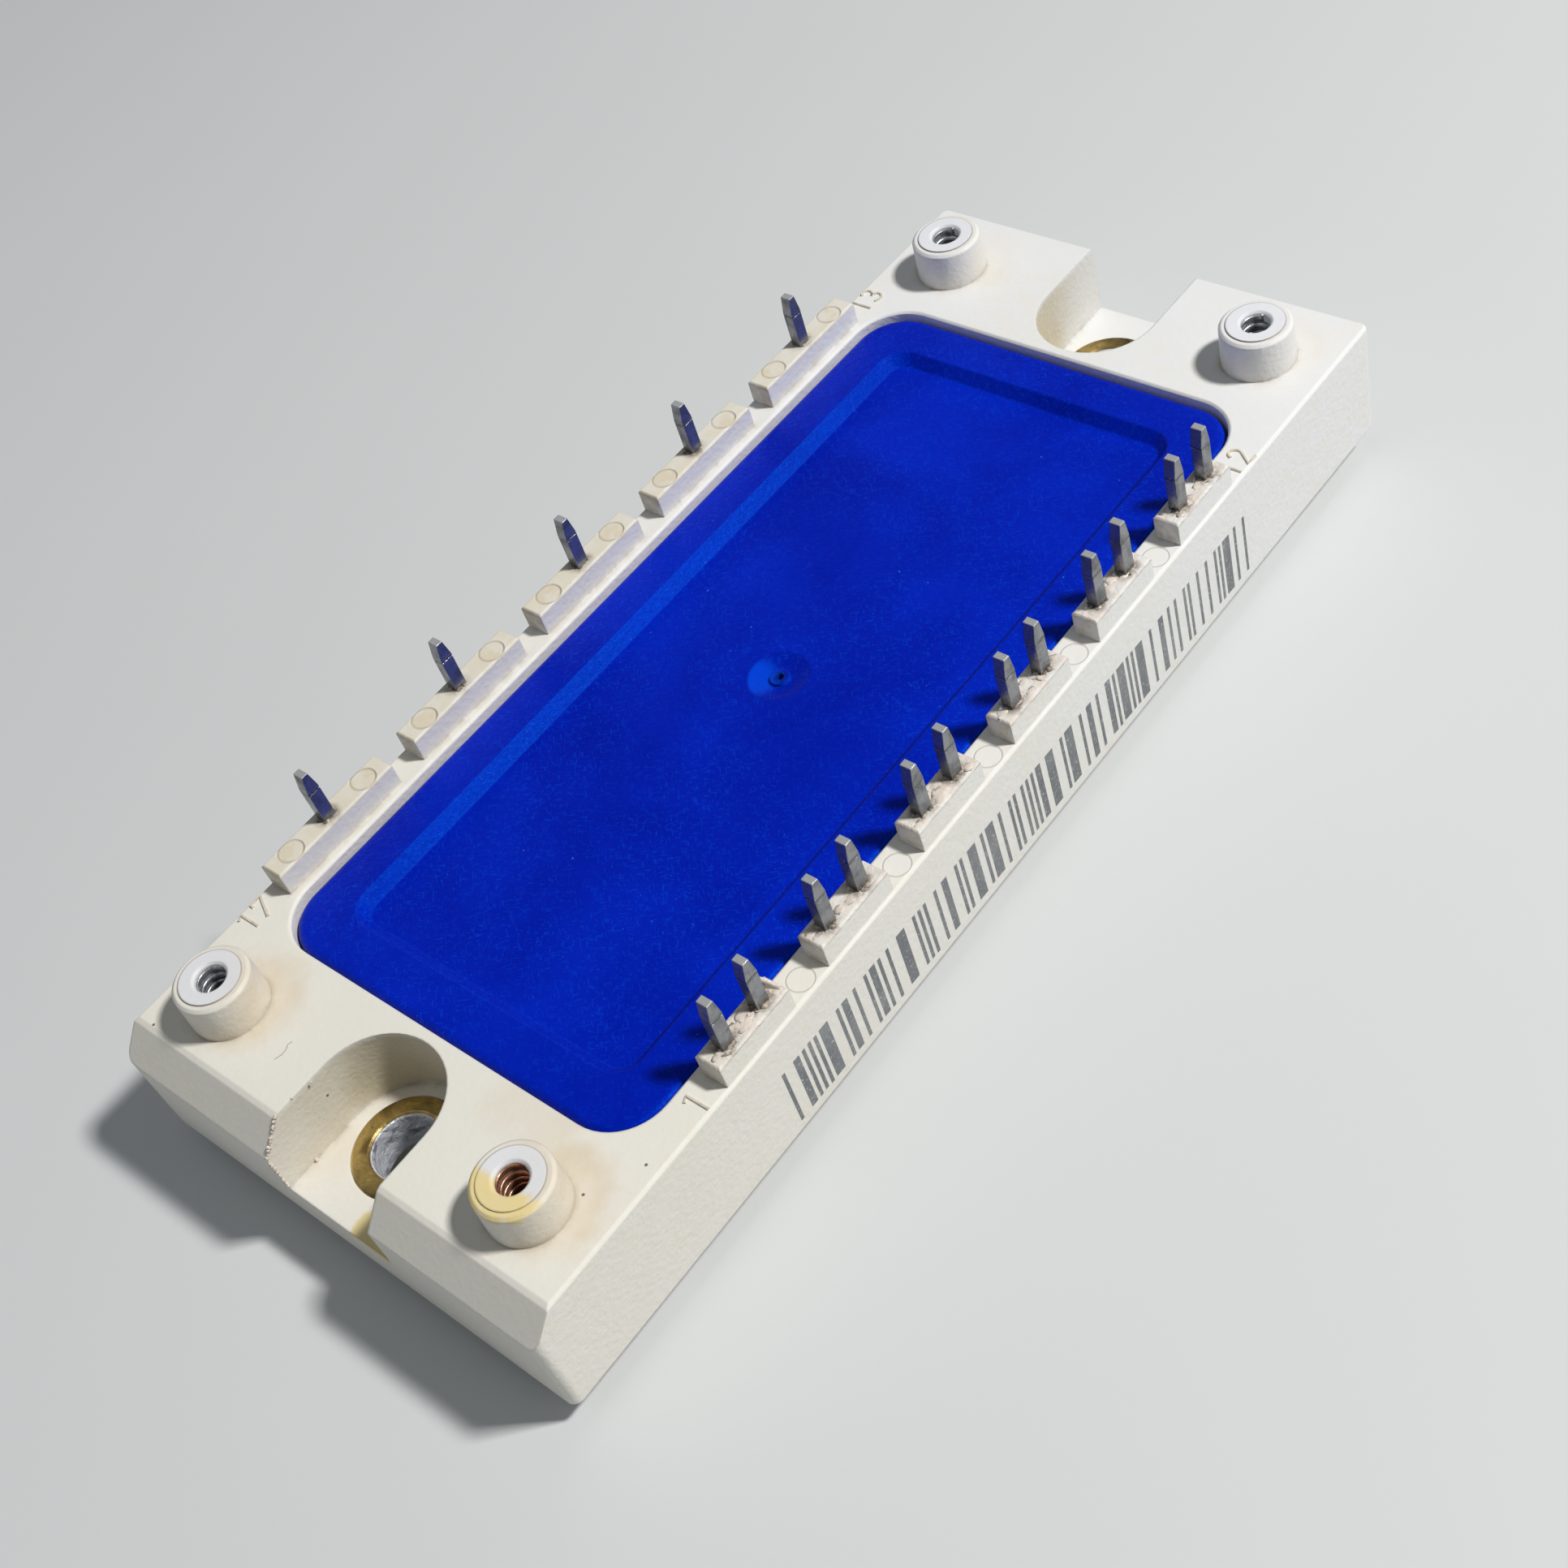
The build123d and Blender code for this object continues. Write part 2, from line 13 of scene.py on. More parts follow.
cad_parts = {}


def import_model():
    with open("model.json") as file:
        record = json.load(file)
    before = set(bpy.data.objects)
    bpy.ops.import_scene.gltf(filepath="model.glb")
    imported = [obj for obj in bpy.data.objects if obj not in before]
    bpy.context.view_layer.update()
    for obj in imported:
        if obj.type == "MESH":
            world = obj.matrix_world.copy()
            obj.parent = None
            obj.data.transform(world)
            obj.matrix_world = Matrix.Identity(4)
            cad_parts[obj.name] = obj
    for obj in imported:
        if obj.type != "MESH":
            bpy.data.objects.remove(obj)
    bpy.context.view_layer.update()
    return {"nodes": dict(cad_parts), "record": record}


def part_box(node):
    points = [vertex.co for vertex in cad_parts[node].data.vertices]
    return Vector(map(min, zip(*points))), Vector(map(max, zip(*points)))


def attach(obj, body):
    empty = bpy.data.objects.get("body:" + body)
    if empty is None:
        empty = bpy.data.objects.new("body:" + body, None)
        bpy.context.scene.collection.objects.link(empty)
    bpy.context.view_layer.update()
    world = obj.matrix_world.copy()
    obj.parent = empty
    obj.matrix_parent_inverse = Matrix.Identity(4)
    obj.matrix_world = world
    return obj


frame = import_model()
nodes = frame["nodes"]

MM = 0.001
PIN_COUNT = 17
FRONT_PIN_COUNT = 12

# Camera: where the photograph was taken from, in millimetres
IMAGE_SIZE = 1932
FOCAL_PIXELS = 2657.3
SENSOR_WIDTH = 36.0
IMAGE_CENTRE = (1025.9, 979.2)
CAMERA_PLACE = (-72.54, -98.73, 133.78)
CAMERA_RIGHT = (0.60358, -0.76492, -0.22491)
CAMERA_DOWN = (-0.69148, -0.36178, -0.62528)
CAMERA_FORWARD = (0.39692, 0.53293, -0.74729)
CAMERA_CLIP_START = 5.0

# Light
KEY_AZIMUTH = -55.0
KEY_ELEVATION = 54.0
KEY_DISTANCE = 800.0
KEY_SIZE = 90.0
KEY_POWER = 6.4
KEY_TINT = (1.0, 0.98, 0.95)
FILL_AZIMUTH = 140.0
FILL_ELEVATION = 60.0
FILL_DISTANCE = 900.0
FILL_SIZE = 700.0
FILL_POWER = 0.5
FILL_TINT = (0.92, 0.96, 1.0)
WORLD_COLOUR = (0.84, 0.88, 0.92)
WORLD_STRENGTH = 0.18
FLOOR_COLOUR = (0.62, 0.64, 0.65)
FLOOR_SIZE = 3000.0
FLOOR_GAP = 0.02


def box_mm(name):
    """Lowest and highest corner of a node, in millimetres."""
    low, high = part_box(name)
    return low / MM, high / MM


frame_low, frame_high = box_mm("housing_frame")
bush_low, bush_high = box_mm("mounting_bush_near")
pins = [box_mm(f"terminal_pin_{number:02d}") for number in range(1, PIN_COUNT + 1)]

BOSS_HEIGHT = 3.8
BOSS_HOLE_D = 2.5
BOSS_THREAD_DEPTH = 6.5
BOSS_LAND_D = 5.0
BOSS_SIDE_INSET = 6.3
BLOCK_HEIGHT = 2.2
BLOCK_DEPTH = 2.3
PIN_THICKNESS = 1.0
NOTCH_R = 5.6
BUSH_PROUD = 0.25

boss_top = frame_high.z
frame_top = boss_top - BOSS_HEIGHT
block_top = frame_top + BLOCK_HEIGHT
notch_floor = bush_high.z - BUSH_PROUD
lid_top = box_mm("lid")[1].z
pin_tip = pins[0][1].z
fixing_x = -(bush_low.x + bush_high.x) / 2
boss_y = frame_high.y - BOSS_SIDE_INSET
row_y = pins[-1][1].y - PIN_THICKNESS / 2
boss_places = [(x, y) for x in (-fixing_x, fixing_x) for y in (-boss_y, boss_y)]
pin_x = [(low.x + high.x) / 2 for low, high in pins]
pin_places = [(x, -row_y if k < FRONT_PIN_COUNT else row_y) for k, x in enumerate(pin_x)]
pair_gauge = pin_x[1] - pin_x[0]
pair_pitch = pin_x[2] - pin_x[0]
power_pitch = pin_x[FRONT_PIN_COUNT] - pin_x[FRONT_PIN_COUNT + 1]
pair_x = [(pin_x[k] + pin_x[k + 1]) / 2 for k in range(0, FRONT_PIN_COUNT, 2)]


# Small helpers for node trees
def put(tree, socket, value):
    """Feeds a socket from another socket, or sets its own value."""
    if isinstance(value, bpy.types.NodeSocket):
        tree.links.new(value, socket)
    else:
        socket.default_value = value


def node(tree, kind, inputs=None, **settings):
    """A new node with its settings, and with its inputs set or linked by name or number."""
    made = tree.nodes.new(kind)
    for name, value in settings.items():
        setattr(made, name, value)
    for key, value in (inputs or {}).items():
        put(tree, made.inputs[key], value)
    return made


def maths(tree, operation, first, second=0.0):
    """One Math node."""
    return node(tree, "ShaderNodeMath", {0: first, 1: second}, operation=operation).outputs[0]


def fold(tree, operation, values):
    """One value made from several, with one Math node after the other."""
    result = values[0]
    for value in values[1:]:
        result = maths(tree, operation, result, value)
    return result


def times(tree, *masks):
    """The product of some masks."""
    return fold(tree, "MULTIPLY", masks)


def highest(tree, *masks):
    """The strongest of some masks."""
    return fold(tree, "MAXIMUM", masks)


def remap(tree, value, low, high, to_low=0.0, to_high=1.0):
    """A value moved smoothly from one range to another, and held inside it."""
    made = node(tree, "ShaderNodeMapRange",
                {"Value": value, "From Min": low, "From Max": high, "To Min": to_low, "To Max": to_high},
                interpolation_type="SMOOTHSTEP")
    return made.outputs["Result"]


def span(tree, mask, low, high):
    """A mask turned into a value between two others."""
    return remap(tree, mask, 0.0, 1.0, low, high)


def blend(tree, mask, first, second):
    """A colour between two colours."""
    made = node(tree, "ShaderNodeMix", data_type="RGBA")
    put(tree, made.inputs["Factor"], mask)
    put(tree, made.inputs["A"], first)
    put(tree, made.inputs["B"], second)
    return made.outputs["Result"]


def coat(tree, base, *layers):
    """A colour under some layers, each given as its mask and its colour."""
    for mask, tint in layers:
        base = blend(tree, mask, base, tint)
    return base


def nearest(tree, place, spots):
    """The distance to the nearest of some spots."""
    apart = [node(tree, "ShaderNodeVectorMath", {0: place, 1: spot}, operation="DISTANCE").outputs["Value"]
             for spot in spots]
    return fold(tree, "MINIMUM", apart)


def colour(red, green, blue):
    """A colour with full alpha."""
    return (red, green, blue, 1.0)


VALUE = "NodeSocketFloat"
VECTOR = "NodeSocketVector"


def group(name, defaults, results):
    """A new node group. An input without a default is a place; each result has its kind."""
    tree = bpy.data.node_groups.new(name, "ShaderNodeTree")
    for label, value in defaults.items():
        kind = VECTOR if value is None else VALUE
        made = tree.interface.new_socket(label, in_out="INPUT", socket_type=kind)
        if value is not None:
            made.default_value = value
    for label, kind in results.items():
        tree.interface.new_socket(label, in_out="OUTPUT", socket_type=kind)
    return tree, tree.nodes.new("NodeGroupInput").outputs, tree.nodes.new("NodeGroupOutput").inputs


def place_in_millimetres():
    """Group: the place on the module in millimetres, and the face's own direction."""
    tree, _, out = group("place_in_millimetres", {},
                         {"Place": VECTOR, "X": VALUE, "Y": VALUE, "Z": VALUE, "Facing": VECTOR})
    coordinates = tree.nodes.new("ShaderNodeTexCoord")
    place = node(tree, "ShaderNodeVectorMath", {0: coordinates.outputs["Object"], "Scale": 1 / MM},
                 operation="SCALE").outputs[0]
    split = node(tree, "ShaderNodeSeparateXYZ", {0: place})
    put(tree, out["Place"], place)
    for axis in "XYZ":
        put(tree, out[axis], split.outputs[axis])
    put(tree, out["Facing"], coordinates.outputs["Normal"])
    return tree


def sand_grain():
    """Group: fine pitted grain of a spark-eroded mould, as a height from 0 to 1."""
    tree, given, out = group("sand_grain", {"Place": None, "Grain Size": 0.3, "Pitting": 0.4},
                             {"Height": VALUE})
    scale = maths(tree, "DIVIDE", 1.0, given["Grain Size"])
    fine = node(tree, "ShaderNodeTexNoise", {"Vector": given["Place"], "Scale": scale,
                                             "Detail": 3.0, "Roughness": 0.65})
    pits = node(tree, "ShaderNodeTexVoronoi", {"Vector": given["Place"],
                                               "Scale": maths(tree, "MULTIPLY", scale, 0.8)})
    pit_height = maths(tree, "MULTIPLY", pits.outputs["Distance"], given["Pitting"])
    put(tree, out["Height"], maths(tree, "ADD", fine.outputs[0], pit_height))
    return tree


def uneven_patches():
    """Group: soft uneven patches, for stains and colour that varies over a moulding."""
    tree, given, out = group("uneven_patches", {"Place": None, "Patch Size": 8.0, "Cover": 0.4,
                                                "Softness": 0.15}, {"Mask": VALUE})
    scale = maths(tree, "DIVIDE", 1.0, given["Patch Size"])
    cloud = node(tree, "ShaderNodeTexNoise", {"Vector": given["Place"], "Scale": scale,
                                              "Detail": 4.0, "Roughness": 0.6, "Distortion": 0.4})
    start = maths(tree, "SUBTRACT", 1.0, given["Cover"])
    low = maths(tree, "SUBTRACT", start, given["Softness"])
    high = maths(tree, "ADD", start, given["Softness"])
    put(tree, out["Mask"], remap(tree, cloud.outputs[0], low, high))
    return tree


def ragged_stain():
    """Group: a stain within some distance of a spot, with a ragged edge."""
    tree, given, out = group("ragged_stain", {"Place": None, "Distance": 0.0, "Radius": 5.0,
                                              "Fade": 2.0, "Raggedness": 1.0}, {"Mask": VALUE})
    wave = node(tree, "ShaderNodeTexNoise", {"Vector": given["Place"], "Scale": 0.7, "Detail": 3.0})
    shift = maths(tree, "MULTIPLY", maths(tree, "SUBTRACT", wave.outputs[0], 0.5),
                  given["Raggedness"])
    distance = maths(tree, "ADD", given["Distance"], shift)
    edge = maths(tree, "ADD", given["Radius"], given["Fade"])
    put(tree, out["Mask"], remap(tree, distance, edge, given["Radius"]))
    return tree


def ring_line():
    """Group: a thin ring at some distance from a spot, and the disc inside it."""
    tree, given, out = group("ring_line", {"Distance": 0.0, "Radius": 1.0, "Line": 0.08},
                             {"Mask": VALUE, "Inside": VALUE})
    off = maths(tree, "SUBTRACT", given["Distance"], given["Radius"])
    put(tree, out["Inside"], remap(tree, off, given["Line"], 0.0))
    put(tree, out["Mask"], remap(tree, maths(tree, "ABSOLUTE", off), given["Line"], 0.0))
    return tree


def row_spots():
    """Group: the distance in plan to the nearest spot of an even row along the module."""
    tree, given, out = group("row_spots", {"Place": None, "Row": 0.0, "Pitch": 10.0, "Start": 0.0,
                                           "Spread": 0.0, "Reach": 40.0}, {"Distance": VALUE})
    split = node(tree, "ShaderNodeSeparateXYZ", {0: given["Place"]})
    half = maths(tree, "MULTIPLY", given["Pitch"], 0.5)
    shifted = maths(tree, "SUBTRACT", split.outputs["X"], given["Start"])
    wrapped = node(tree, "ShaderNodeMath", {0: shifted, 1: half, 2: maths(tree, "MULTIPLY", half, -1.0)},
                   operation="WRAP").outputs[0]
    along = maths(tree, "SUBTRACT", maths(tree, "ABSOLUTE", wrapped), given["Spread"])
    across = maths(tree, "SUBTRACT", split.outputs["Y"], given["Row"])
    past_end = maths(tree, "SUBTRACT", maths(tree, "ABSOLUTE", split.outputs["X"]), given["Reach"])
    past_end = times(tree, maths(tree, "MAXIMUM", past_end, 0.0), 20.0)
    apart = node(tree, "ShaderNodeCombineXYZ", {"X": along, "Y": across, "Z": past_end})
    length = node(tree, "ShaderNodeVectorMath", {0: apart.outputs[0]}, operation="LENGTH")
    put(tree, out["Distance"], length.outputs["Value"])
    return tree


def sparse_specks():
    """Group: small round specks of uneven size, far apart."""
    tree, given, out = group("sparse_specks", {"Place": None, "Spacing": 1.0, "Size": 0.1, "Share": 0.3},
                             {"Mask": VALUE})
    spacing = given["Spacing"]
    cells = node(tree, "ShaderNodeTexVoronoi", {"Vector": given["Place"],
                                                "Scale": maths(tree, "DIVIDE", 1.0, spacing)})
    chance = node(tree, "ShaderNodeSeparateColor", {0: cells.outputs["Color"]})
    kept = maths(tree, "LESS_THAN", chance.outputs[0], given["Share"])
    size = times(tree, given["Size"], span(tree, chance.outputs[1], 0.35, 1.0))
    distance = times(tree, cells.outputs["Distance"], spacing)
    put(tree, out["Mask"], times(tree, remap(tree, distance, size, times(tree, size, 0.5)), kept))
    return tree


def edge_wear():
    """Group: a mask along the edges of a piece, and its normal with the edges rounded off."""
    tree, given, out = group("edge_wear", {"Radius": 0.2 * MM, "Start": 0.05},
                             {"Mask": VALUE, "Normal": VECTOR})
    rounded = node(tree, "ShaderNodeBevel", {"Radius": given["Radius"]}, samples=4)
    flat = tree.nodes.new("ShaderNodeNewGeometry")
    match = node(tree, "ShaderNodeVectorMath", {0: rounded.outputs["Normal"],
                                                1: flat.outputs["True Normal"]}, operation="DOT_PRODUCT")
    turn = maths(tree, "SUBTRACT", 1.0, match.outputs["Value"])
    put(tree, out["Mask"], remap(tree, turn, given["Start"], 0.35))
    put(tree, out["Normal"], rounded.outputs["Normal"])
    return tree


def corner_shade_and_dirt():
    """Group: a mask where faces close in on each other, as at the foot of a wall, for painted corner shade
    and dirt.
    """
    tree, given, out = group("corner_shade_and_dirt", {"Reach": 1.0 * MM}, {"Mask": VALUE})
    openness = node(tree, "ShaderNodeAmbientOcclusion", {"Distance": given["Reach"]},
                    samples=4, only_local=True)
    put(tree, out["Mask"], remap(tree, openness.outputs["AO"], 0.85, 0.4))
    return tree


def fine_scratches():
    """Group: thin scratches that run one way, as a mask."""
    tree, given, out = group("fine_scratches", {"Place": None, "Length": 8.0, "Width": 0.15,
                                                "Turn": 0.0, "Cover": 0.3}, {"Mask": VALUE})
    turned = node(tree, "ShaderNodeVectorRotate", {"Vector": given["Place"],
                                                   "Angle": given["Turn"]},
                  rotation_type="Z_AXIS")
    split = node(tree, "ShaderNodeSeparateXYZ", {0: turned.outputs[0]})
    along = maths(tree, "DIVIDE", split.outputs["X"], given["Length"])
    across = maths(tree, "DIVIDE", split.outputs["Y"], given["Width"])
    stretched = node(tree, "ShaderNodeCombineXYZ", {"X": along, "Y": across, "Z": split.outputs["Z"]})
    lines = node(tree, "ShaderNodeTexNoise", {"Vector": stretched.outputs[0], "Scale": 1.0,
                                              "Detail": 2.0})
    start = maths(tree, "SUBTRACT", 1.0, given["Cover"])
    put(tree, out["Mask"], remap(tree, lines.outputs[0], start, maths(tree, "ADD", start, 0.06)))
    return tree


PLACE = place_in_millimetres()
GRAIN = sand_grain()
PATCHES = uneven_patches()
STAIN = ragged_stain()
RING = ring_line()
ROW = row_spots()
SPECKS = sparse_specks()
EDGE = edge_wear()
CORNER_SHADE_AND_DIRT = corner_shade_and_dirt()
SCRATCHES = fine_scratches()


def use(tree, made_group, **inputs):
    """Places a group in a material; words in an input's name are joined by underscores."""
    placed = node(tree, "ShaderNodeGroup", node_tree=made_group)
    for name, value in inputs.items():
        put(tree, placed.inputs[name.replace("_", " ").title()], value)
    return placed.outputs


def patches(tree, at, patch_size, cover=0.5, softness=0.15):
    """Uneven patches of one size, as a mask."""
    return use(tree, PATCHES, place=at["Place"], patch_size=patch_size, cover=cover,
               softness=softness)["Mask"]


def stain(tree, at, spots, radius, fade, raggedness):
    """Ragged stains round some spots, as a mask."""
    distance = nearest(tree, at["Place"], spots)
    return use(tree, STAIN, place=at["Place"], distance=distance, radius=radius, fade=fade,
               raggedness=raggedness)["Mask"]


def speckle(tree, at, spacing, size, share):
    """Small specks far apart, as a mask."""
    return use(tree, SPECKS, place=at["Place"], spacing=spacing, size=size, share=share)["Mask"]


def grain_height(tree, at, grain_size, pitting):
    """The grain of a moulded or cast face, as a height."""
    return use(tree, GRAIN, place=at["Place"], grain_size=grain_size, pitting=pitting)["Height"]


def in_plan(tree, at):
    """The place on the module as seen from above."""
    return node(tree, "ShaderNodeCombineXYZ", {"X": at["X"], "Y": at["Y"]}).outputs[0]


def face_direction(tree, at):
    """The three parts of the face's own direction."""
    return node(tree, "ShaderNodeSeparateXYZ", {0: at["Facing"]}).outputs


def material(name, metallic=0.0, ior=1.5):
    """A new material: its tree, its shader and the place on the module."""
    made = bpy.data.materials.new(name)
    made.use_nodes = True
    tree = made.node_tree
    shader = tree.nodes["Principled BSDF"]
    shader.inputs["Metallic"].default_value = metallic
    shader.inputs["IOR"].default_value = ior
    return made, tree, shader, use(tree, PLACE)


def paint(tree, shader, base, roughness):
    """Feeds the shader's colour and roughness."""
    put(tree, shader.inputs["Base Color"], base)
    put(tree, shader.inputs["Roughness"], roughness)


def bump(tree, shader, height, distance, strength=1.0, normal=None):
    """Feeds the shader's normal from a height in millimetres."""
    made = node(tree, "ShaderNodeBump", {"Height": height, "Distance": distance * MM,
                                         "Strength": strength})
    if normal is not None:
        put(tree, made.inputs["Normal"], normal)
    put(tree, shader.inputs["Normal"], made.outputs[0])


def at_height(tree, at, height, reach=0.12):
    """A mask for what lies close to one height."""
    off = maths(tree, "ABSOLUTE", maths(tree, "SUBTRACT", at["Z"], height))
    return remap(tree, off, reach, reach * 0.6)


# Colours of the frame
IVORY = colour(0.77, 0.75, 0.68)
# Painted light: the cooler, whiter tone of the far end
COOL_PAINTED_LIGHT = colour(0.765, 0.78, 0.80)
WARM_PATCH = colour(0.75, 0.70, 0.58)
TAN_STAIN = colour(0.62, 0.48, 0.28)
YELLOW_STAIN = colour(0.78, 0.63, 0.27)
AGED_BLOCK = colour(0.70, 0.65, 0.53)
# Warm painted shade on the notch walls
NOTCH_SHADE = colour(0.60, 0.54, 0.39)
PINK_CRUST = colour(0.68, 0.60, 0.54)
# Painted shade on the block ends that face away from the lamp
BLOCK_END_SHADE = colour(0.42, 0.33, 0.21)
# Painted shade and dirt where faces close in
BROWN_SHADE_AND_DIRT = colour(0.28, 0.215, 0.14)
GREY_DIRT = colour(0.16, 0.135, 0.115)
LAND_WHITE = colour(0.73, 0.75, 0.81)
BROWN_LINE = colour(0.36, 0.28, 0.19)

MARK_R = 1.07
MARK_OFFSET = 4.05
BACK_MARK_LINE = 0.17
FRONT_MARK_LINE = 0.12
LAND_LINE = 0.11
SPECK_R = 0.15
SPECKS_ON_FRAME = [(-43.9, -18.9, frame_top), (-50.94, 20.56, frame_top), (-53.16, -13.14, 11.5),
                   (-47.44, NOTCH_R, 10.5), (-39.9, -21.2, frame_top)]
BOSS_STAIN_SHIFT = (1.1, -0.9)
LONE_STAINS = [(-41.3, -12.8, frame_top), (-41.0, -10.2, frame_top), (-50.0, NOTCH_R, notch_floor),
               (-fixing_x + 2.5, NOTCH_R, notch_floor + 1.5), (fixing_x - 2.0, NOTCH_R, notch_floor + 1.5)]
RESIN_R = 3.3
YELLOW_EDGE_X = -fixing_x - 0.5
WEDGE_EDGE_X = -51.4
WEDGE_EDGE_Y = -0.8


def ejector_marks(tree, at):
    """The round marks of ejector pins: discs on the back blocks, rings between the front blocks."""
    place = at["Place"]
    back = use(tree, ROW, place=place, row=row_y, pitch=power_pitch, spread=MARK_OFFSET)["Distance"]
    front = use(tree, ROW, place=place, row=-row_y, pitch=pair_pitch, reach=2.5 * pair_pitch)["Distance"]
    back_ring = use(tree, RING, distance=back, radius=MARK_R, line=BACK_MARK_LINE)
    front_ring = use(tree, RING, distance=front, radius=MARK_R, line=FRONT_MARK_LINE)
    on_blocks = at_height(tree, at, block_top)
    on_frame = at_height(tree, at, frame_top)
    rings = highest(tree, times(tree, back_ring["Mask"], on_blocks, 0.45),
                    times(tree, front_ring["Mask"], on_frame, 0.5))
    return rings, times(tree, back_ring["Inside"], on_blocks)


def pin_distance(tree, at):
    """The distance in plan to the nearest terminal."""
    place = at["Place"]
    front = use(tree, ROW, place=place, row=-row_y, pitch=pair_pitch, start=pair_pitch / 2,
                spread=pair_gauge / 2)["Distance"]
    back = use(tree, ROW, place=place, row=row_y, pitch=power_pitch)["Distance"]
    return maths(tree, "MINIMUM", front, back)


def tan_stain_mask(tree, at, broad):
    """Tan stains beside the board bosses, along the notches and near the lid's corner."""
    beside = [(x + BOSS_STAIN_SHIFT[0], y + BOSS_STAIN_SHIFT[1], frame_top) for x, y in boss_places]
    by_boss = times(tree, stain(tree, at, beside, radius=3.1, fade=2.6, raggedness=2.4),
                    remap(tree, at["X"], -20.0, 20.0, 0.9, 0.35))
    elsewhere = stain(tree, at, LONE_STAINS, radius=0.9, fade=3.2, raggedness=2.0)
    return times(tree, highest(tree, by_boss, times(tree, elsewhere, 0.5)), span(tree, broad, 0.5, 1.0))


def notch_wall_mask(tree, at):
    """The walls of the two screw notches, with a warm painted shade that is strongest towards the lid."""
    inside = times(tree, remap(tree, maths(tree, "ABSOLUTE", at["Y"]), NOTCH_R + 0.3, NOTCH_R + 0.1),
                   remap(tree, at["Z"], frame_top - 0.15, frame_top - 0.6),
                   remap(tree, at["Z"], notch_floor + 0.1, notch_floor + 0.4))
    from_middle = maths(tree, "ABSOLUTE", at["X"])
    past_lid = remap(tree, from_middle, fixing_x - NOTCH_R - 0.5, fixing_x - NOTCH_R - 0.2)
    towards_lid = remap(tree, from_middle, fixing_x + 5.0, fixing_x - 3.5, 0.35, 1.0)
    return times(tree, inside, past_lid, towards_lid)


def yellow_resin_mask(tree, at, boss_distance, small):
    """Yellow resin on the near front boss, and a wedge of it at the end of the near notch floor."""
    shift = maths(tree, "MULTIPLY", small, 0.6)
    x = maths(tree, "ADD", at["X"], shift)
    on_top = times(tree, remap(tree, boss_distance, RESIN_R + 0.2, RESIN_R),
                   remap(tree, x, YELLOW_EDGE_X + 0.8, YELLOW_EDGE_X), remap(tree, at["Y"], 0.0, -1.0),
                   remap(tree, maths(tree, "ADD", at["Z"], shift), boss_top - 0.6, boss_top + 0.1))
    on_floor = times(tree, remap(tree, x, WEDGE_EDGE_X + 0.3, WEDGE_EDGE_X - 0.1),
                     remap(tree, maths(tree, "ADD", at["Y"], shift), WEDGE_EDGE_Y + 0.2, WEDGE_EDGE_Y - 0.3),
                     remap(tree, at["Z"], notch_floor + 0.8, notch_floor + 0.2),
                     remap(tree, maths(tree, "ADD", at["Z"], shift), notch_floor - 0.9, notch_floor - 0.1),
                     remap(tree, at["Y"], -NOTCH_R - 0.1, -NOTCH_R + 0.1))
    return highest(tree, times(tree, on_top, 0.9), times(tree, on_floor, 0.85))


def block_masks(tree, at, small, facing):
    """Masks for the tops of the back blocks, the tops of the front blocks, and painted shade on the ends of
    both that face the near end.
    """
    raised = remap(tree, at["Z"], frame_top + 0.1, frame_top + 0.5)
    in_row = remap(tree, maths(tree, "ABSOLUTE", at["Y"]),
                   row_y - BLOCK_DEPTH * 0.7, row_y - BLOCK_DEPTH * 0.6)
    on_top = times(tree, raised, in_row, at_height(tree, at, block_top, 0.3))
    aged = times(tree, on_top, remap(tree, at["Y"], -1.0, 1.0), span(tree, small, 0.55, 0.9))
    crusted = times(tree, on_top, remap(tree, at["Y"], 1.0, -1.0))
    # Painted shade: the block ends that face away from the lamp, towards the near end.
    ends = times(tree, raised, in_row, remap(tree, facing["X"], -0.5, -0.8))
    return aged, crusted, ends


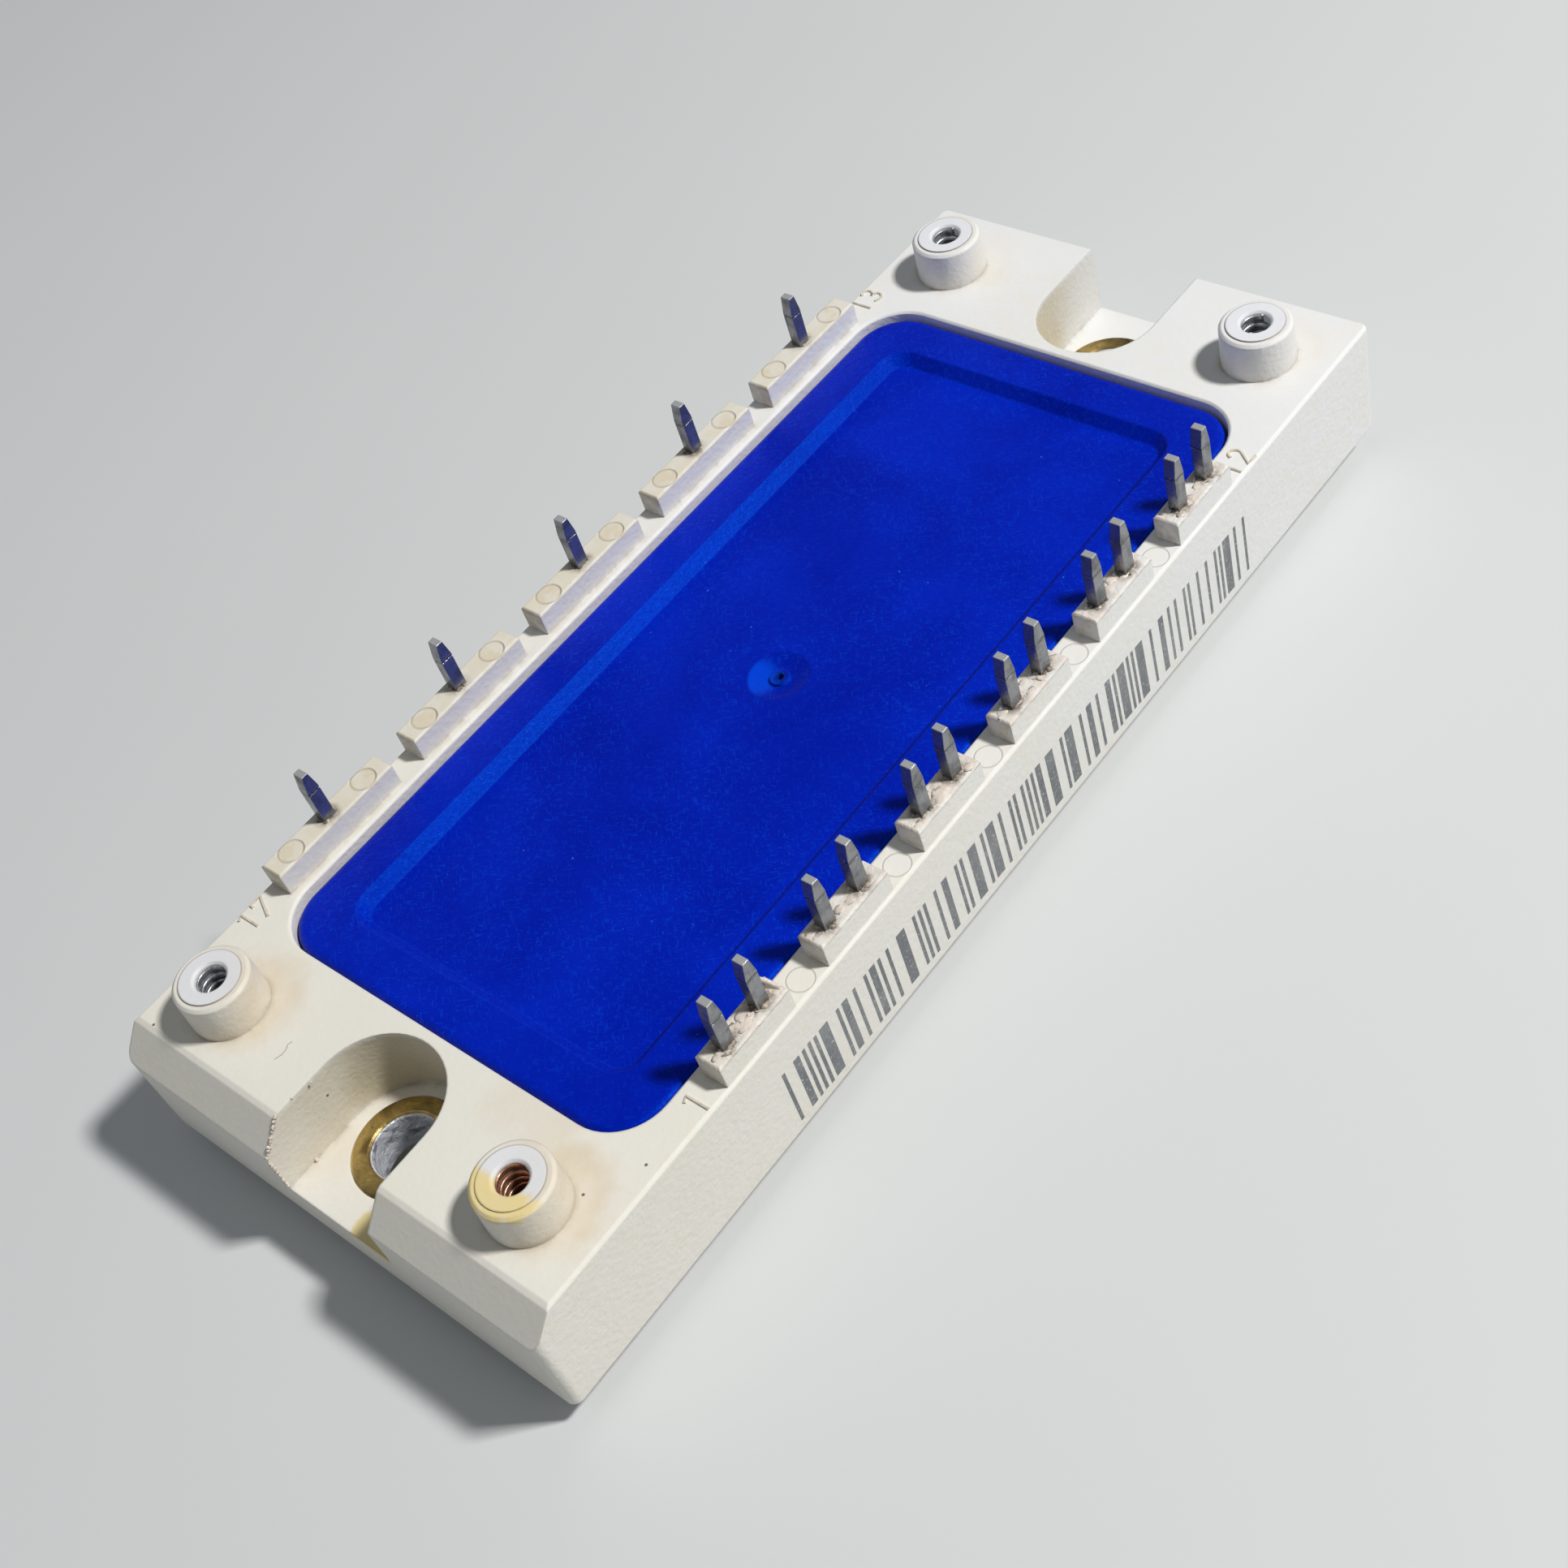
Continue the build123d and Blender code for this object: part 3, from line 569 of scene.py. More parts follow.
def frame_plastic():
    """Aged ivory glass-filled plastic, stained round the bosses, notches and blocks, with painted shade in
    corners, on the notch walls and on the block ends, and a cooler painted light towards the far end.
    """
    made, tree, shader, at = material("frame_plastic", ior=1.48)
    broad = patches(tree, at, 9.0, 0.48, 0.2)
    small = patches(tree, at, 1.5, 0.5, 0.15)
    facing = face_direction(tree, at)
    aged, crusted, shaded_block_ends = block_masks(tree, at, small, facing)
    boss_distance = nearest(tree, at["Place"], [(x, y, boss_top) for x, y in boss_places])
    land = use(tree, RING, distance=boss_distance, radius=BOSS_LAND_D / 2, line=LAND_LINE)
    rings, discs = ejector_marks(tree, at)
    # Painted shade with dirt: brown darkening where faces close in, at the feet of walls, bosses and blocks.
    in_corners = times(tree, use(tree, CORNER_SHADE_AND_DIRT, reach=1.1 * MM)["Mask"], span(tree, small, 0.35, 1.0))
    at_feet = times(tree, remap(tree, pin_distance(tree, at), 1.5, 0.65),
                    at_height(tree, at, block_top, 0.3), span(tree, small, 0.3, 1.0))
    own_specks = remap(tree, nearest(tree, at["Place"], SPECKS_ON_FRAME), SPECK_R, SPECK_R * 0.6)
    specks = highest(tree, times(tree, speckle(tree, at, 2.6, 0.09, 0.3), 0.5), own_specks)
    # Painted light: a cooler, whiter tone towards the far end stands in for the colour of the light there.
    base = blend(tree, remap(tree, at["X"], -45.0, 50.0, 0.08, 0.85), IVORY, COOL_PAINTED_LIGHT)
    base = coat(tree, base,
                (times(tree, broad, small, 0.4), WARM_PATCH),
                (times(tree, tan_stain_mask(tree, at, broad), 0.62), TAN_STAIN),
                # Warm painted shade on the notch walls, strongest towards the lid.
                (times(tree, notch_wall_mask(tree, at), span(tree, broad, 0.6, 0.95)), NOTCH_SHADE),
                (aged, AGED_BLOCK),
                (times(tree, crusted, span(tree, small, 0.15, 0.75)), PINK_CRUST),
                # Painted shade on the block ends.
                (times(tree, shaded_block_ends, span(tree, small, 0.3, 0.6)), BLOCK_END_SHADE),
                (times(tree, land["Inside"], 0.75), LAND_WHITE),
                (times(tree, land["Mask"], 0.55), BROWN_LINE),
                (yellow_resin_mask(tree, at, boss_distance, small), YELLOW_STAIN),
                (times(tree, discs, span(tree, small, 0.05, 0.3)), TAN_STAIN),
                (times(tree, rings, 0.8), BROWN_LINE),
                # Painted corner shade and dirt.
                (times(tree, in_corners, 0.6), BROWN_SHADE_AND_DIRT),
                (times(tree, at_feet, 0.85), GREY_DIRT),
                (specks, GREY_DIRT))
    paint(tree, shader, base, span(tree, small, 0.5, 0.64))
    upright = remap(tree, maths(tree, "ABSOLUTE", facing["Z"]), 0.7, 0.3, 0.3, 1.0)
    height = times(tree, grain_height(tree, at, 0.42, 0.5), upright)
    marks = maths(tree, "ADD", times(tree, rings, 1.6), times(tree, discs, 1.2))
    crust_height = times(tree, highest(tree, crusted, at_feet), patches(tree, at, 0.9, 0.5, 0.25), 1.6)
    height = maths(tree, "ADD", maths(tree, "SUBTRACT", height, marks), crust_height)
    bump(tree, shader, height, 0.055, 0.85, use(tree, EDGE, radius=0.22 * MM)["Normal"])
    return made


# Colours of the lid
LID_BLUE = colour(0.0004, 0.015, 0.47)
LID_DEEP = colour(0.0003, 0.007, 0.33)
# Rubbed wear and grain lines, and painted highlight and sheen on the lid
LID_WEAR_AND_HIGHLIGHT = colour(0.001, 0.06, 0.68)
# Pale dust specks and painted glints on the lid
LID_DUST_AND_GLINT = colour(0.08, 0.25, 0.72)
LID_GATE = colour(0.001, 0.02, 0.14)
LID_SPECULAR = 0.3
LID_SPECULAR_TINT = colour(0.03, 0.28, 1.0)
DISH_R = 2.5
DISH_LIGHT_PLACE = (-1.1, 1.8, 0.0)
GATE_R = 0.62
LID_SMUDGES = [(-3.0, -5.0, lid_top), (3.5, -6.0, lid_top)]
LID_GRAIN_TURNS = (0.9, 2.3)


def lid_plastic():
    """Deep blue satin plastic with a fine curved grain, a frosted slope with painted sheen, painted
    highlight and shade in the dish, painted light on the steep faces towards the lamp, and pale dust specks
    with painted glints.
    """
    made, tree, shader, at = material("lid_plastic", ior=1.5)
    shader.inputs["Specular IOR Level"].default_value = LID_SPECULAR
    shader.inputs["Specular Tint"].default_value = LID_SPECULAR_TINT
    broad = patches(tree, at, 15.0, 0.5, 0.25)
    zone = patches(tree, at, 11.0, 0.55, 0.25)
    frost = patches(tree, at, 0.24, 0.42, 0.06)
    smudge = stain(tree, at, LID_SMUDGES, radius=1.5, fade=7.0, raggedness=5.0)
    plan = in_plan(tree, at)
    from_middle = nearest(tree, plan, [(0.0, 0.0, 0.0)])
    dish = use(tree, RING, distance=from_middle, radius=DISH_R, line=0.25)["Inside"]
    lit_side = remap(tree, nearest(tree, plan, [DISH_LIGHT_PLACE]), 2.6, 1.2)
    lines = [use(tree, SCRATCHES, place=at["Place"], length=0.6, width=0.15, turn=turn, cover=0.4)["Mask"]
             for turn in LID_GRAIN_TURNS]
    facing = face_direction(tree, at)
    steep = remap(tree, facing["Z"], 0.97, 0.85)
    slope = times(tree, steep, remap(tree, facing["Y"], -0.15, -0.5))
    # Painted sheen on the slope that faces the lamp, over its real frosted grain.
    frosted = times(tree, slope, span(tree, frost, 0.4, 1.0),
                    remap(tree, maths(tree, "ABSOLUTE", at["X"]), 38.0, 24.0, 0.35, 1.0))
    edges = use(tree, EDGE, radius=0.3 * MM)
    rubbed = times(tree, edges["Mask"], patches(tree, at, 0.8, 0.6, 0.15))
    # Sparkle: painted glints, mostly on the slope facing the lamp; the wider specks below are dust.
    sparkle = speckle(tree, at, 0.55, 0.07, 0.32)
    pale = highest(tree, times(tree, speckle(tree, at, 1.5, 0.1, 0.3), 0.6),
                   times(tree, sparkle, zone, 0.35), times(tree, sparkle, slope, 0.6))
    base = coat(tree, blend(tree, broad, LID_DEEP, LID_BLUE),
                (times(tree, smudge, 0.5), LID_DEEP),
                # Painted highlight and shade in the dish: lighter on the side towards the lamp, deeper blue
                # on the other.
                (times(tree, dish, 0.7), blend(tree, lit_side, LID_DEEP, LID_WEAR_AND_HIGHLIGHT)),
                (times(tree, remap(tree, from_middle, GATE_R, GATE_R * 0.7), 0.8), LID_GATE),
                (times(tree, highest(tree, *lines), span(tree, zone, 0.12, 0.36)), LID_WEAR_AND_HIGHLIGHT),
                # Painted sheen on the slope that faces the lamp.
                (times(tree, frosted, 0.8), LID_WEAR_AND_HIGHLIGHT),
                # Painted light on the steep faces that face the far end, towards the lamp.
                (times(tree, steep, remap(tree, facing["X"], 0.2, 0.5), frost, 0.35), LID_WEAR_AND_HIGHLIGHT),
                (times(tree, rubbed, 0.7), LID_WEAR_AND_HIGHLIGHT),
                (pale, LID_DUST_AND_GLINT))
    paint(tree, shader, base, span(tree, broad, 0.38, 0.46))
    grain = maths(tree, "ADD", grain_height(tree, at, 0.38, 0.35), times(tree, frosted, 1.2))
    bump(tree, shader, grain, 0.05, 0.9, edges["Normal"])
    return made


TIN = colour(0.30, 0.305, 0.315)
TIN_DARK = colour(0.14, 0.145, 0.155)
SOLDER_GREY = colour(0.58, 0.59, 0.60)
SOLDER_LINE_DROP = 1.75
TIP_METALLIC = 0.4
SHANK_METALLIC = 0.85


def tinned_metal():
    """Dull tinned copper, grey, streaked and smeared with old solder below the tips."""
    made, tree, shader, at = material("tinned_metal")
    smears = patches(tree, at, 1.3, 0.45, 0.2)
    along_pin = node(tree, "ShaderNodeCombineXYZ", {"X": at["Z"], "Y": at["X"], "Z": at["Y"]}).outputs[0]
    streaks = use(tree, SCRATCHES, place=along_pin, length=2.5, width=0.1, cover=0.4)["Mask"]
    tip_face = at_height(tree, at, pin_tip, 0.1)
    uneven_height = maths(tree, "ADD", at["Z"], times(tree, smears, 0.3))
    off_line = maths(tree, "SUBTRACT", uneven_height, pin_tip - SOLDER_LINE_DROP)
    solder_line = remap(tree, maths(tree, "ABSOLUTE", off_line), 0.14, 0.06)
    edges = use(tree, EDGE, radius=0.12 * MM, start=0.03)
    base = coat(tree, blend(tree, highest(tree, smears, times(tree, streaks, 0.4)), TIN, TIN_DARK),
                (times(tree, tip_face, 0.7), SOLDER_GREY),
                (times(tree, solder_line, 0.9), TIN_DARK),
                (times(tree, edges["Mask"], 0.4), SOLDER_GREY))
    paint(tree, shader, base, span(tree, smears, 0.26, 0.42))
    put(tree, shader.inputs["Metallic"], span(tree, tip_face, SHANK_METALLIC, TIP_METALLIC))
    height = maths(tree, "SUBTRACT", grain_height(tree, at, 0.5, 0.3), times(tree, solder_line, 2.5))
    bump(tree, shader, height, 0.035, 0.8, edges["Normal"])
    return made


BRASS = colour(0.58, 0.42, 0.15)
BRASS_DARK = colour(0.17, 0.115, 0.045)
# Worn brass with a painted highlight on the edges
BRASS_WORN_AND_HIGHLIGHT = colour(0.92, 0.74, 0.36)
BORE_SILVER = colour(0.70, 0.73, 0.80)
BORE_DARK = colour(0.20, 0.20, 0.24)
BORE_METALLIC = 0.35
BRASS_METALLIC = 0.95
BORE_R = 2.8


def worn_brass():
    """The brass bush: turned rings on its face, tarnish, bright edges that are worn and carry a painted
    highlight, and a wrinkled silvery bore.
    """
    made, tree, shader, at = material("worn_brass")
    tarnish = patches(tree, at, 2.2, 0.5, 0.18)
    smears = patches(tree, at, 1.5, 0.38, 0.12)
    edges = use(tree, EDGE, radius=0.25 * MM, start=0.03)
    from_axis = nearest(tree, in_plan(tree, at), [(-fixing_x, 0.0, 0.0), (fixing_x, 0.0, 0.0)])
    bore = use(tree, RING, distance=from_axis, radius=BORE_R, line=0.1)["Inside"]
    base = coat(tree, blend(tree, tarnish, BRASS, BRASS_DARK),
                (times(tree, speckle(tree, at, 0.6, 0.13, 0.45), 0.6), BRASS_DARK),
                # Bright edges: wear, and a painted highlight.
                (times(tree, edges["Mask"], 0.8), BRASS_WORN_AND_HIGHLIGHT),
                (bore, blend(tree, smears, BORE_SILVER, BORE_DARK)))
    paint(tree, shader, base, span(tree, tarnish, 0.26, 0.42))
    put(tree, shader.inputs["Metallic"], span(tree, bore, BRASS_METALLIC, BORE_METALLIC))
    radius_only = node(tree, "ShaderNodeCombineXYZ", {"X": from_axis}).outputs[0]
    turned = node(tree, "ShaderNodeTexNoise", {"Vector": radius_only, "Scale": 6.0,
                                               "Detail": 2.0}).outputs[0]
    wrinkles = times(tree, bore, patches(tree, at, 1.1, 0.5, 0.3), 7.0)
    grain = maths(tree, "ADD", grain_height(tree, at, 0.3, 0.4), times(tree, turned, 0.8))
    bump(tree, shader, maths(tree, "ADD", grain, wrinkles), 0.035, 0.7, edges["Normal"])
    return made


def plain_finish(name, main, darker, roughness, patch_size, grain_size, metallic=1.0):
    """A metal, ceramic or rubber whose colour and roughness vary in patches and fine lines."""
    made, tree, shader, at = material(name, metallic=metallic)
    uneven = patches(tree, at, patch_size, 0.5, 0.2)
    lines = use(tree, SCRATCHES, place=at["Place"], length=6.0, width=0.12, turn=0.35, cover=0.36)["Mask"]
    base = coat(tree, blend(tree, uneven, main, darker), (times(tree, lines, 0.35), main))
    paint(tree, shader, base, span(tree, uneven, roughness, roughness + 0.16))
    bump(tree, shader, grain_height(tree, at, grain_size, 0.3), 0.02, 0.6)
    return made


def clear_gel():
    """Soft clear silicone with a faint cloudiness."""
    made, tree, shader, at = material("clear_gel", ior=1.41)
    cloudy = patches(tree, at, 6.0, 0.5, 0.3)
    base = blend(tree, cloudy, colour(0.86, 0.90, 0.92), colour(0.78, 0.84, 0.88))
    paint(tree, shader, base, span(tree, cloudy, 0.08, 0.2))
    shader.inputs["Transmission Weight"].default_value = 0.85
    return made


def number_plastic():
    """The frame's plastic on the raised digits, darker and browner than the frame in uneven patches, as
    painted shade for the shaded sides of the strokes.
    """
    made, tree, shader, at = material("number_plastic", ior=1.48)
    digit_shade_patches = patches(tree, at, 0.6, 0.5, 0.15)
    # Painted shade: the digits are darkened all over.
    paint(tree, shader, blend(tree, digit_shade_patches, colour(0.55, 0.50, 0.41), colour(0.70, 0.66, 0.58)), 0.6)
    bump(tree, shader, grain_height(tree, at, 0.3, 0.4), 0.03)
    return made


def flux_residue():
    """Brown-grey flux and worn plastic crumbs at the terminal feet."""
    made, tree, shader, at = material("flux_residue", ior=1.5)
    uneven = patches(tree, at, 0.5, 0.52, 0.12)
    base = blend(tree, uneven, colour(0.50, 0.43, 0.34), colour(0.13, 0.105, 0.085))
    paint(tree, shader, base, span(tree, uneven, 0.3, 0.6))
    bump(tree, shader, grain_height(tree, at, 0.18, 0.4), 0.03)
    return made


def block_crust():
    """The plastic of the front blocks, roughened and greyed by soldering and pulling off a board."""
    made, tree, shader, at = material("block_crust", ior=1.48)
    uneven = patches(tree, at, 0.9, 0.5, 0.15)
    at_feet = times(tree, remap(tree, pin_distance(tree, at), 1.6, 0.8), uneven)
    base = coat(tree, blend(tree, uneven, colour(0.74, 0.67, 0.58), PINK_CRUST),
                (times(tree, at_feet, 0.8), GREY_DIRT))
    paint(tree, shader, base, span(tree, uneven, 0.42, 0.62))
    bump(tree, shader, grain_height(tree, at, 0.35, 0.5), 0.06)
    return made


def worn_ink():
    """Grey marking ink, worn through to the grain of the plastic."""
    made, tree, shader, at = material("worn_ink", ior=1.48)
    worn = patches(tree, at, 0.3, 0.36, 0.1)
    faded = patches(tree, at, 5.0, 0.4, 0.3)
    ink = blend(tree, faded, colour(0.15, 0.16, 0.175), colour(0.27, 0.28, 0.29))
    paint(tree, shader, blend(tree, worn, ink, colour(0.52, 0.52, 0.48)), 0.6)
    bump(tree, shader, grain_height(tree, at, 0.42, 0.5), 0.04)
    return made


def make_finishes():
    """Every finish, by its name."""
    made = {
        "frame_plastic": frame_plastic(), "lid_plastic": lid_plastic(), "tinned_copper": tinned_metal(),
        "bush_brass": worn_brass(), "clear_gel": clear_gel(), "number_plastic": number_plastic(),
        "flux_residue": flux_residue(), "block_crust": block_crust(), "worn_ink": worn_ink(),
    }
    plain = {
        "nickel_plate": (colour(0.60, 0.58, 0.53), colour(0.42, 0.40, 0.36), 0.28, 9.0, 0.5),
        "solder": (SOLDER_GREY, colour(0.42, 0.42, 0.43), 0.35, 2.0, 0.3),
        "copper": (colour(0.72, 0.34, 0.20), colour(0.50, 0.22, 0.13), 0.3, 3.0, 0.3),
        "ceramic": (colour(0.82, 0.82, 0.79), colour(0.74, 0.74, 0.72), 0.5, 4.0, 0.2, 0.0),
        "chip_metal": (colour(0.52, 0.54, 0.58), colour(0.38, 0.40, 0.45), 0.22, 3.0, 0.2),
        "wire_aluminium": (colour(0.76, 0.76, 0.78), colour(0.6, 0.6, 0.62), 0.25, 1.0, 0.2),
        "solder_bead": (colour(0.78, 0.79, 0.80), colour(0.5, 0.51, 0.52), 0.14, 0.6, 0.2),
        "coppery_thread": (colour(0.72, 0.40, 0.26), colour(0.26, 0.12, 0.08), 0.28, 0.8, 0.2, 0.8),
        "silvery_thread": (colour(0.70, 0.72, 0.76), colour(0.24, 0.25, 0.28), 0.28, 0.8, 0.2, 0.8),
        "pencil_mark": (colour(0.38, 0.35, 0.31), colour(0.52, 0.48, 0.42), 0.6, 0.5, 0.2, 0.0),
    }
    for name, settings in plain.items():
        made[name] = plain_finish(name, *settings)
    return made


finishes = make_finishes()
for part in frame["record"]["subparts"]:
    shown = nodes[part["node"]]
    shown.data.materials.clear()
    shown.data.materials.append(finishes[part["material_slot"]])


# Extra pieces
def piece(name, made_bm, finish, smooth=False):
    """Turns a mesh in millimetres into a piece of the module, with its finish."""
    bmesh.ops.recalc_face_normals(made_bm, faces=made_bm.faces)
    bmesh.ops.scale(made_bm, vec=(MM, MM, MM), verts=made_bm.verts)
    mesh = bpy.data.meshes.new(name)
    made_bm.to_mesh(mesh)
    made_bm.free()
    for face in mesh.polygons:
        face.use_smooth = smooth
    made = bpy.data.objects.new(name, mesh)
    bpy.context.scene.collection.objects.link(made)
    mesh.materials.append(finishes[finish])
    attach(made, "root")


def join_rows(bm, rows):
    """Skins closed rows of points, one row to the next, and closes both ends."""
    count = len(rows[0])
    for first, second in zip(rows, rows[1:]):
        for j in range(count):
            bm.faces.new((first[j], second[j], second[(j + 1) % count], first[(j + 1) % count]))
    bm.faces.new(rows[0])
    bm.faces.new(rows[-1][::-1])


STROKE_PROFILE = ((-1.0, -0.2), (-0.45, 1.0), (0.45, 1.0), (1.0, -0.2))


def stroke(bm, points, z, width, height):
    """A raised line with sloping sides, along points on a level face."""
    spots = [Vector(point) for point in points]
    rows = []
    for k, spot in enumerate(spots):
        before = spots[max(k - 1, 0)]
        after = spots[min(k + 1, len(spots) - 1)]
        along = (after - before).normalized()
        across = Vector((-along.y, along.x)) * width / 2
        rows.append([bm.verts.new((spot.x + across.x * side, spot.y + across.y * side, z + up * height))
                     for side, up in STROKE_PROFILE])
    join_rows(bm, rows)


DIGIT_HEIGHT = 2.1
DIGIT_WIDTH = 1.1
DIGIT_ADVANCE = 1.7
DIGIT_LINE = 0.32
DIGIT_RISE = 0.16
FRONT_DIGIT_Y = -22.2
BACK_DIGIT_Y = 20.0
NUMBERS = [("1", -35.06, FRONT_DIGIT_Y), ("12", 33.2, FRONT_DIGIT_Y),
           ("13", 38.1, BACK_DIGIT_Y), ("17", -41.0, BACK_DIGIT_Y)]


def arc(centre, radius_x, radius_y, start, end, steps=8):
    """Points along an ellipse arc, with angles in degrees."""
    angles = [math.radians(start + (end - start) * k / steps) for k in range(steps + 1)]
    return [(centre[0] + radius_x * math.cos(a), centre[1] + radius_y * math.sin(a)) for a in angles]


def digit_lines(digit):
    """The lines of one digit in a box one unit wide and one unit high."""
    return {
        "1": [[(0.15, 0.86), (0.62, 1.0), (0.62, 0.0)]],
        "2": [arc((0.5, 0.72), 0.45, 0.28, 165, -35) + [(0.05, 0.0), (1.0, 0.0)]],
        "3": [arc((0.45, 0.75), 0.42, 0.25, 150, -90), arc((0.45, 0.26), 0.5, 0.26, 90, -150)],
        "7": [[(0.0, 0.84), (0.0, 1.0), (0.97, 1.0), (0.05, 0.0)]],
    }[digit]


def raised_number(text, x, y):
    """A number moulded on the frame's top face."""
    bm = bmesh.new()
    for place, digit in enumerate(text):
        for line in digit_lines(digit):
            points = [(x + u * DIGIT_WIDTH + place * DIGIT_ADVANCE, y + v * DIGIT_HEIGHT) for u, v in line]
            stroke(bm, points, frame_top, DIGIT_LINE, DIGIT_RISE)
    piece(f"number_{text}", bm, "number_plastic")


THREAD_PITCH = 0.75
THREAD_RISE = 0.16
THREAD_STEPS = 28
THREAD_START_DROP = 0.55
THREAD_FOOT_HALF = THREAD_PITCH * 0.48
THREAD_CREST_HALF = 0.1


def boss_thread(name, x, y, finish):
    """The thread that a board screw has cut into the wall of a boss hole."""
    bm = bmesh.new()
    last = int(BOSS_THREAD_DEPTH / THREAD_PITCH) * THREAD_STEPS
    outer = BOSS_HOLE_D / 2 - 0.01
    rows = []
    for k in range(last + 1):
        angle = math.tau * k / THREAD_STEPS
        z = boss_top - THREAD_START_DROP - THREAD_PITCH * k / THREAD_STEPS
        fade = min(1.0, k / THREAD_STEPS + 0.1, (last - k) / THREAD_STEPS + 0.1)
        inner = outer - THREAD_RISE * fade
        spots = ((outer, THREAD_FOOT_HALF), (inner, THREAD_CREST_HALF), (inner, -THREAD_CREST_HALF),
                 (outer, -THREAD_FOOT_HALF))
        rows.append([bm.verts.new((x + r * math.cos(angle), y + r * math.sin(angle), z + dz))
                     for r, dz in spots])
    join_rows(bm, rows)
    piece(name, bm, finish, smooth=True)


def place_threads():
    """Threads in the four boss holes; the near front one is copper-coloured, the others silvery."""
    names = ("near_front", "near_back", "far_front", "far_back")
    for where, (x, y) in zip(names, boss_places):
        finish = "coppery_thread" if where == "near_front" else "silvery_thread"
        boss_thread(f"boss_thread_{where}", x, y, finish)


def lump(bm, centre, radius, squash, seed, detail=2, rough=0.45):
    """A small irregular lump, pressed flat against what it sits on."""
    made = bmesh.ops.create_icosphere(bm, subdivisions=detail, radius=radius)
    offset = Vector((seed * 3.7, seed * 1.9, seed * 5.3))
    for vert in made["verts"]:
        push = 1.0 + rough * noise.noise(vert.co / radius * 1.6 + offset)
        vert.co = Vector((vert.co.x * push * squash[0], vert.co.y * push * squash[1],
                          vert.co.z * push * squash[2])) + Vector(centre)


FRONT_CRUMBS = 9
BACK_CRUMBS = 5
CRUMB_REACH = (0.62, 0.54)
CRUMB_R = 0.12
CRUMB_SPREAD = 0.14


def place_foot_residue():
    """A low collar of residue round each terminal where it leaves its block."""
    rng = random.Random(17)
    for number, (x, y) in enumerate(pin_places, start=1):
        bm = bmesh.new()
        crumbs = FRONT_CRUMBS if number <= FRONT_PIN_COUNT else BACK_CRUMBS
        for k in range(crumbs):
            angle = math.tau * (k + rng.random() * 0.7) / crumbs
            reach_x = CRUMB_REACH[0] + rng.random() * CRUMB_SPREAD
            reach_y = CRUMB_REACH[1] + rng.random() * CRUMB_SPREAD
            size = CRUMB_R + rng.random() * CRUMB_SPREAD
            lump(bm, (x + reach_x * math.cos(angle), y + reach_y * math.sin(angle), block_top - 0.02),
                 size, (1.3, 1.1, 0.6), number + k * 0.37)
        piece(f"foot_residue_{number:02d}", bm, "flux_residue", smooth=True)


FIRST_BEAD_PIN = 7
BEAD_R = 0.24
BEAD_SHIFT = (-0.85, 0.35, 0.04)


def place_solder_beads():
    """Small shiny beads of solder that were left beside some front terminals."""
    for number in range(FIRST_BEAD_PIN, FRONT_PIN_COUNT + 1):
        x, y = pin_places[number - 1]
        bm = bmesh.new()
        centre = (x + BEAD_SHIFT[0], y + BEAD_SHIFT[1], block_top + BEAD_SHIFT[2])
        lump(bm, centre, BEAD_R, (1.2, 1.0, 0.6), number * 1.3, detail=3)
        piece(f"solder_bead_{number:02d}", bm, "solder_bead", smooth=True)


CRUST_LUMPS = 15
CRUST_R = 0.28
CRUST_R_SPREAD = 0.3
BLOCK_HALF_LENGTH = 3.7


def place_block_crust():
    """Low uneven swellings on the tops of the front blocks, melted by soldering."""
    rng = random.Random(8)
    for number, x in enumerate(pair_x, start=1):
        bm = bmesh.new()
        for k in range(CRUST_LUMPS):
            size = CRUST_R + rng.random() * CRUST_R_SPREAD
            room_x = BLOCK_HALF_LENGTH - size * 1.4
            room_y = BLOCK_DEPTH / 2 - size * 1.1
            centre = (x + rng.uniform(-room_x, room_x), -row_y + rng.uniform(-room_y, room_y),
                      block_top - 0.03)
            lump(bm, centre, size, (1.4, 1.0, 0.22), number * 2.1 + k * 0.7, rough=0.6)
        piece(f"block_crust_{number}", bm, "block_crust", smooth=True)


FLASH_START = (-25.45, -20.2)
FLASH_END = (-25.0, -21.7)
FLASH_HEIGHT = 1.1
FLASH_HALF_WIDTH = 0.4
FLASH_ROUGHNESS = 0.08
FLASH_STEPS = 9


def block_flash():
    """The lip of broken moulding flash that stands up at the inner corner of the first block."""
    bm = bmesh.new()
    rng = random.Random(5)
    start, end = Vector(FLASH_START), Vector(FLASH_END)
    across = Vector((-(end - start).y, (end - start).x)).normalized()
    rows = []
    for k in range(FLASH_STEPS):
        share = k / (FLASH_STEPS - 1)
        spot = start.lerp(end, share)
        height = FLASH_HEIGHT * (1.0 - 0.8 * share) * min(1.0, 0.55 + share * 2.5)
        height += rng.random() * FLASH_ROUGHNESS
        half = FLASH_HALF_WIDTH - 0.2 * share
        spots = ((-half, -0.05), (-half * 0.6, height * 0.75), (0.0, height), (half * 0.45, height * 0.7),
                 (half, -0.05))
        rows.append([bm.verts.new((spot.x + across.x * side, spot.y + across.y * side, block_top + up))
                     for side, up in spots])
    join_rows(bm, rows)
    piece("block_flash", bm, "block_crust", smooth=True)


LONE_BURRS = [(-51.3, 5.6, 13.15, 0.13), (-47.89, 5.3, 13.15, 0.1), (-49.6, 5.6, 13.2, 0.09),
              (-51.0, 5.5, 6.45, 0.2), (-53.6, -5.6, 6.5, 0.2)]
TORN_EDGE = ((-51.35, 13.15), (-53.7, 10.6), (-53.72, 6.6))
TORN_STEPS = 12


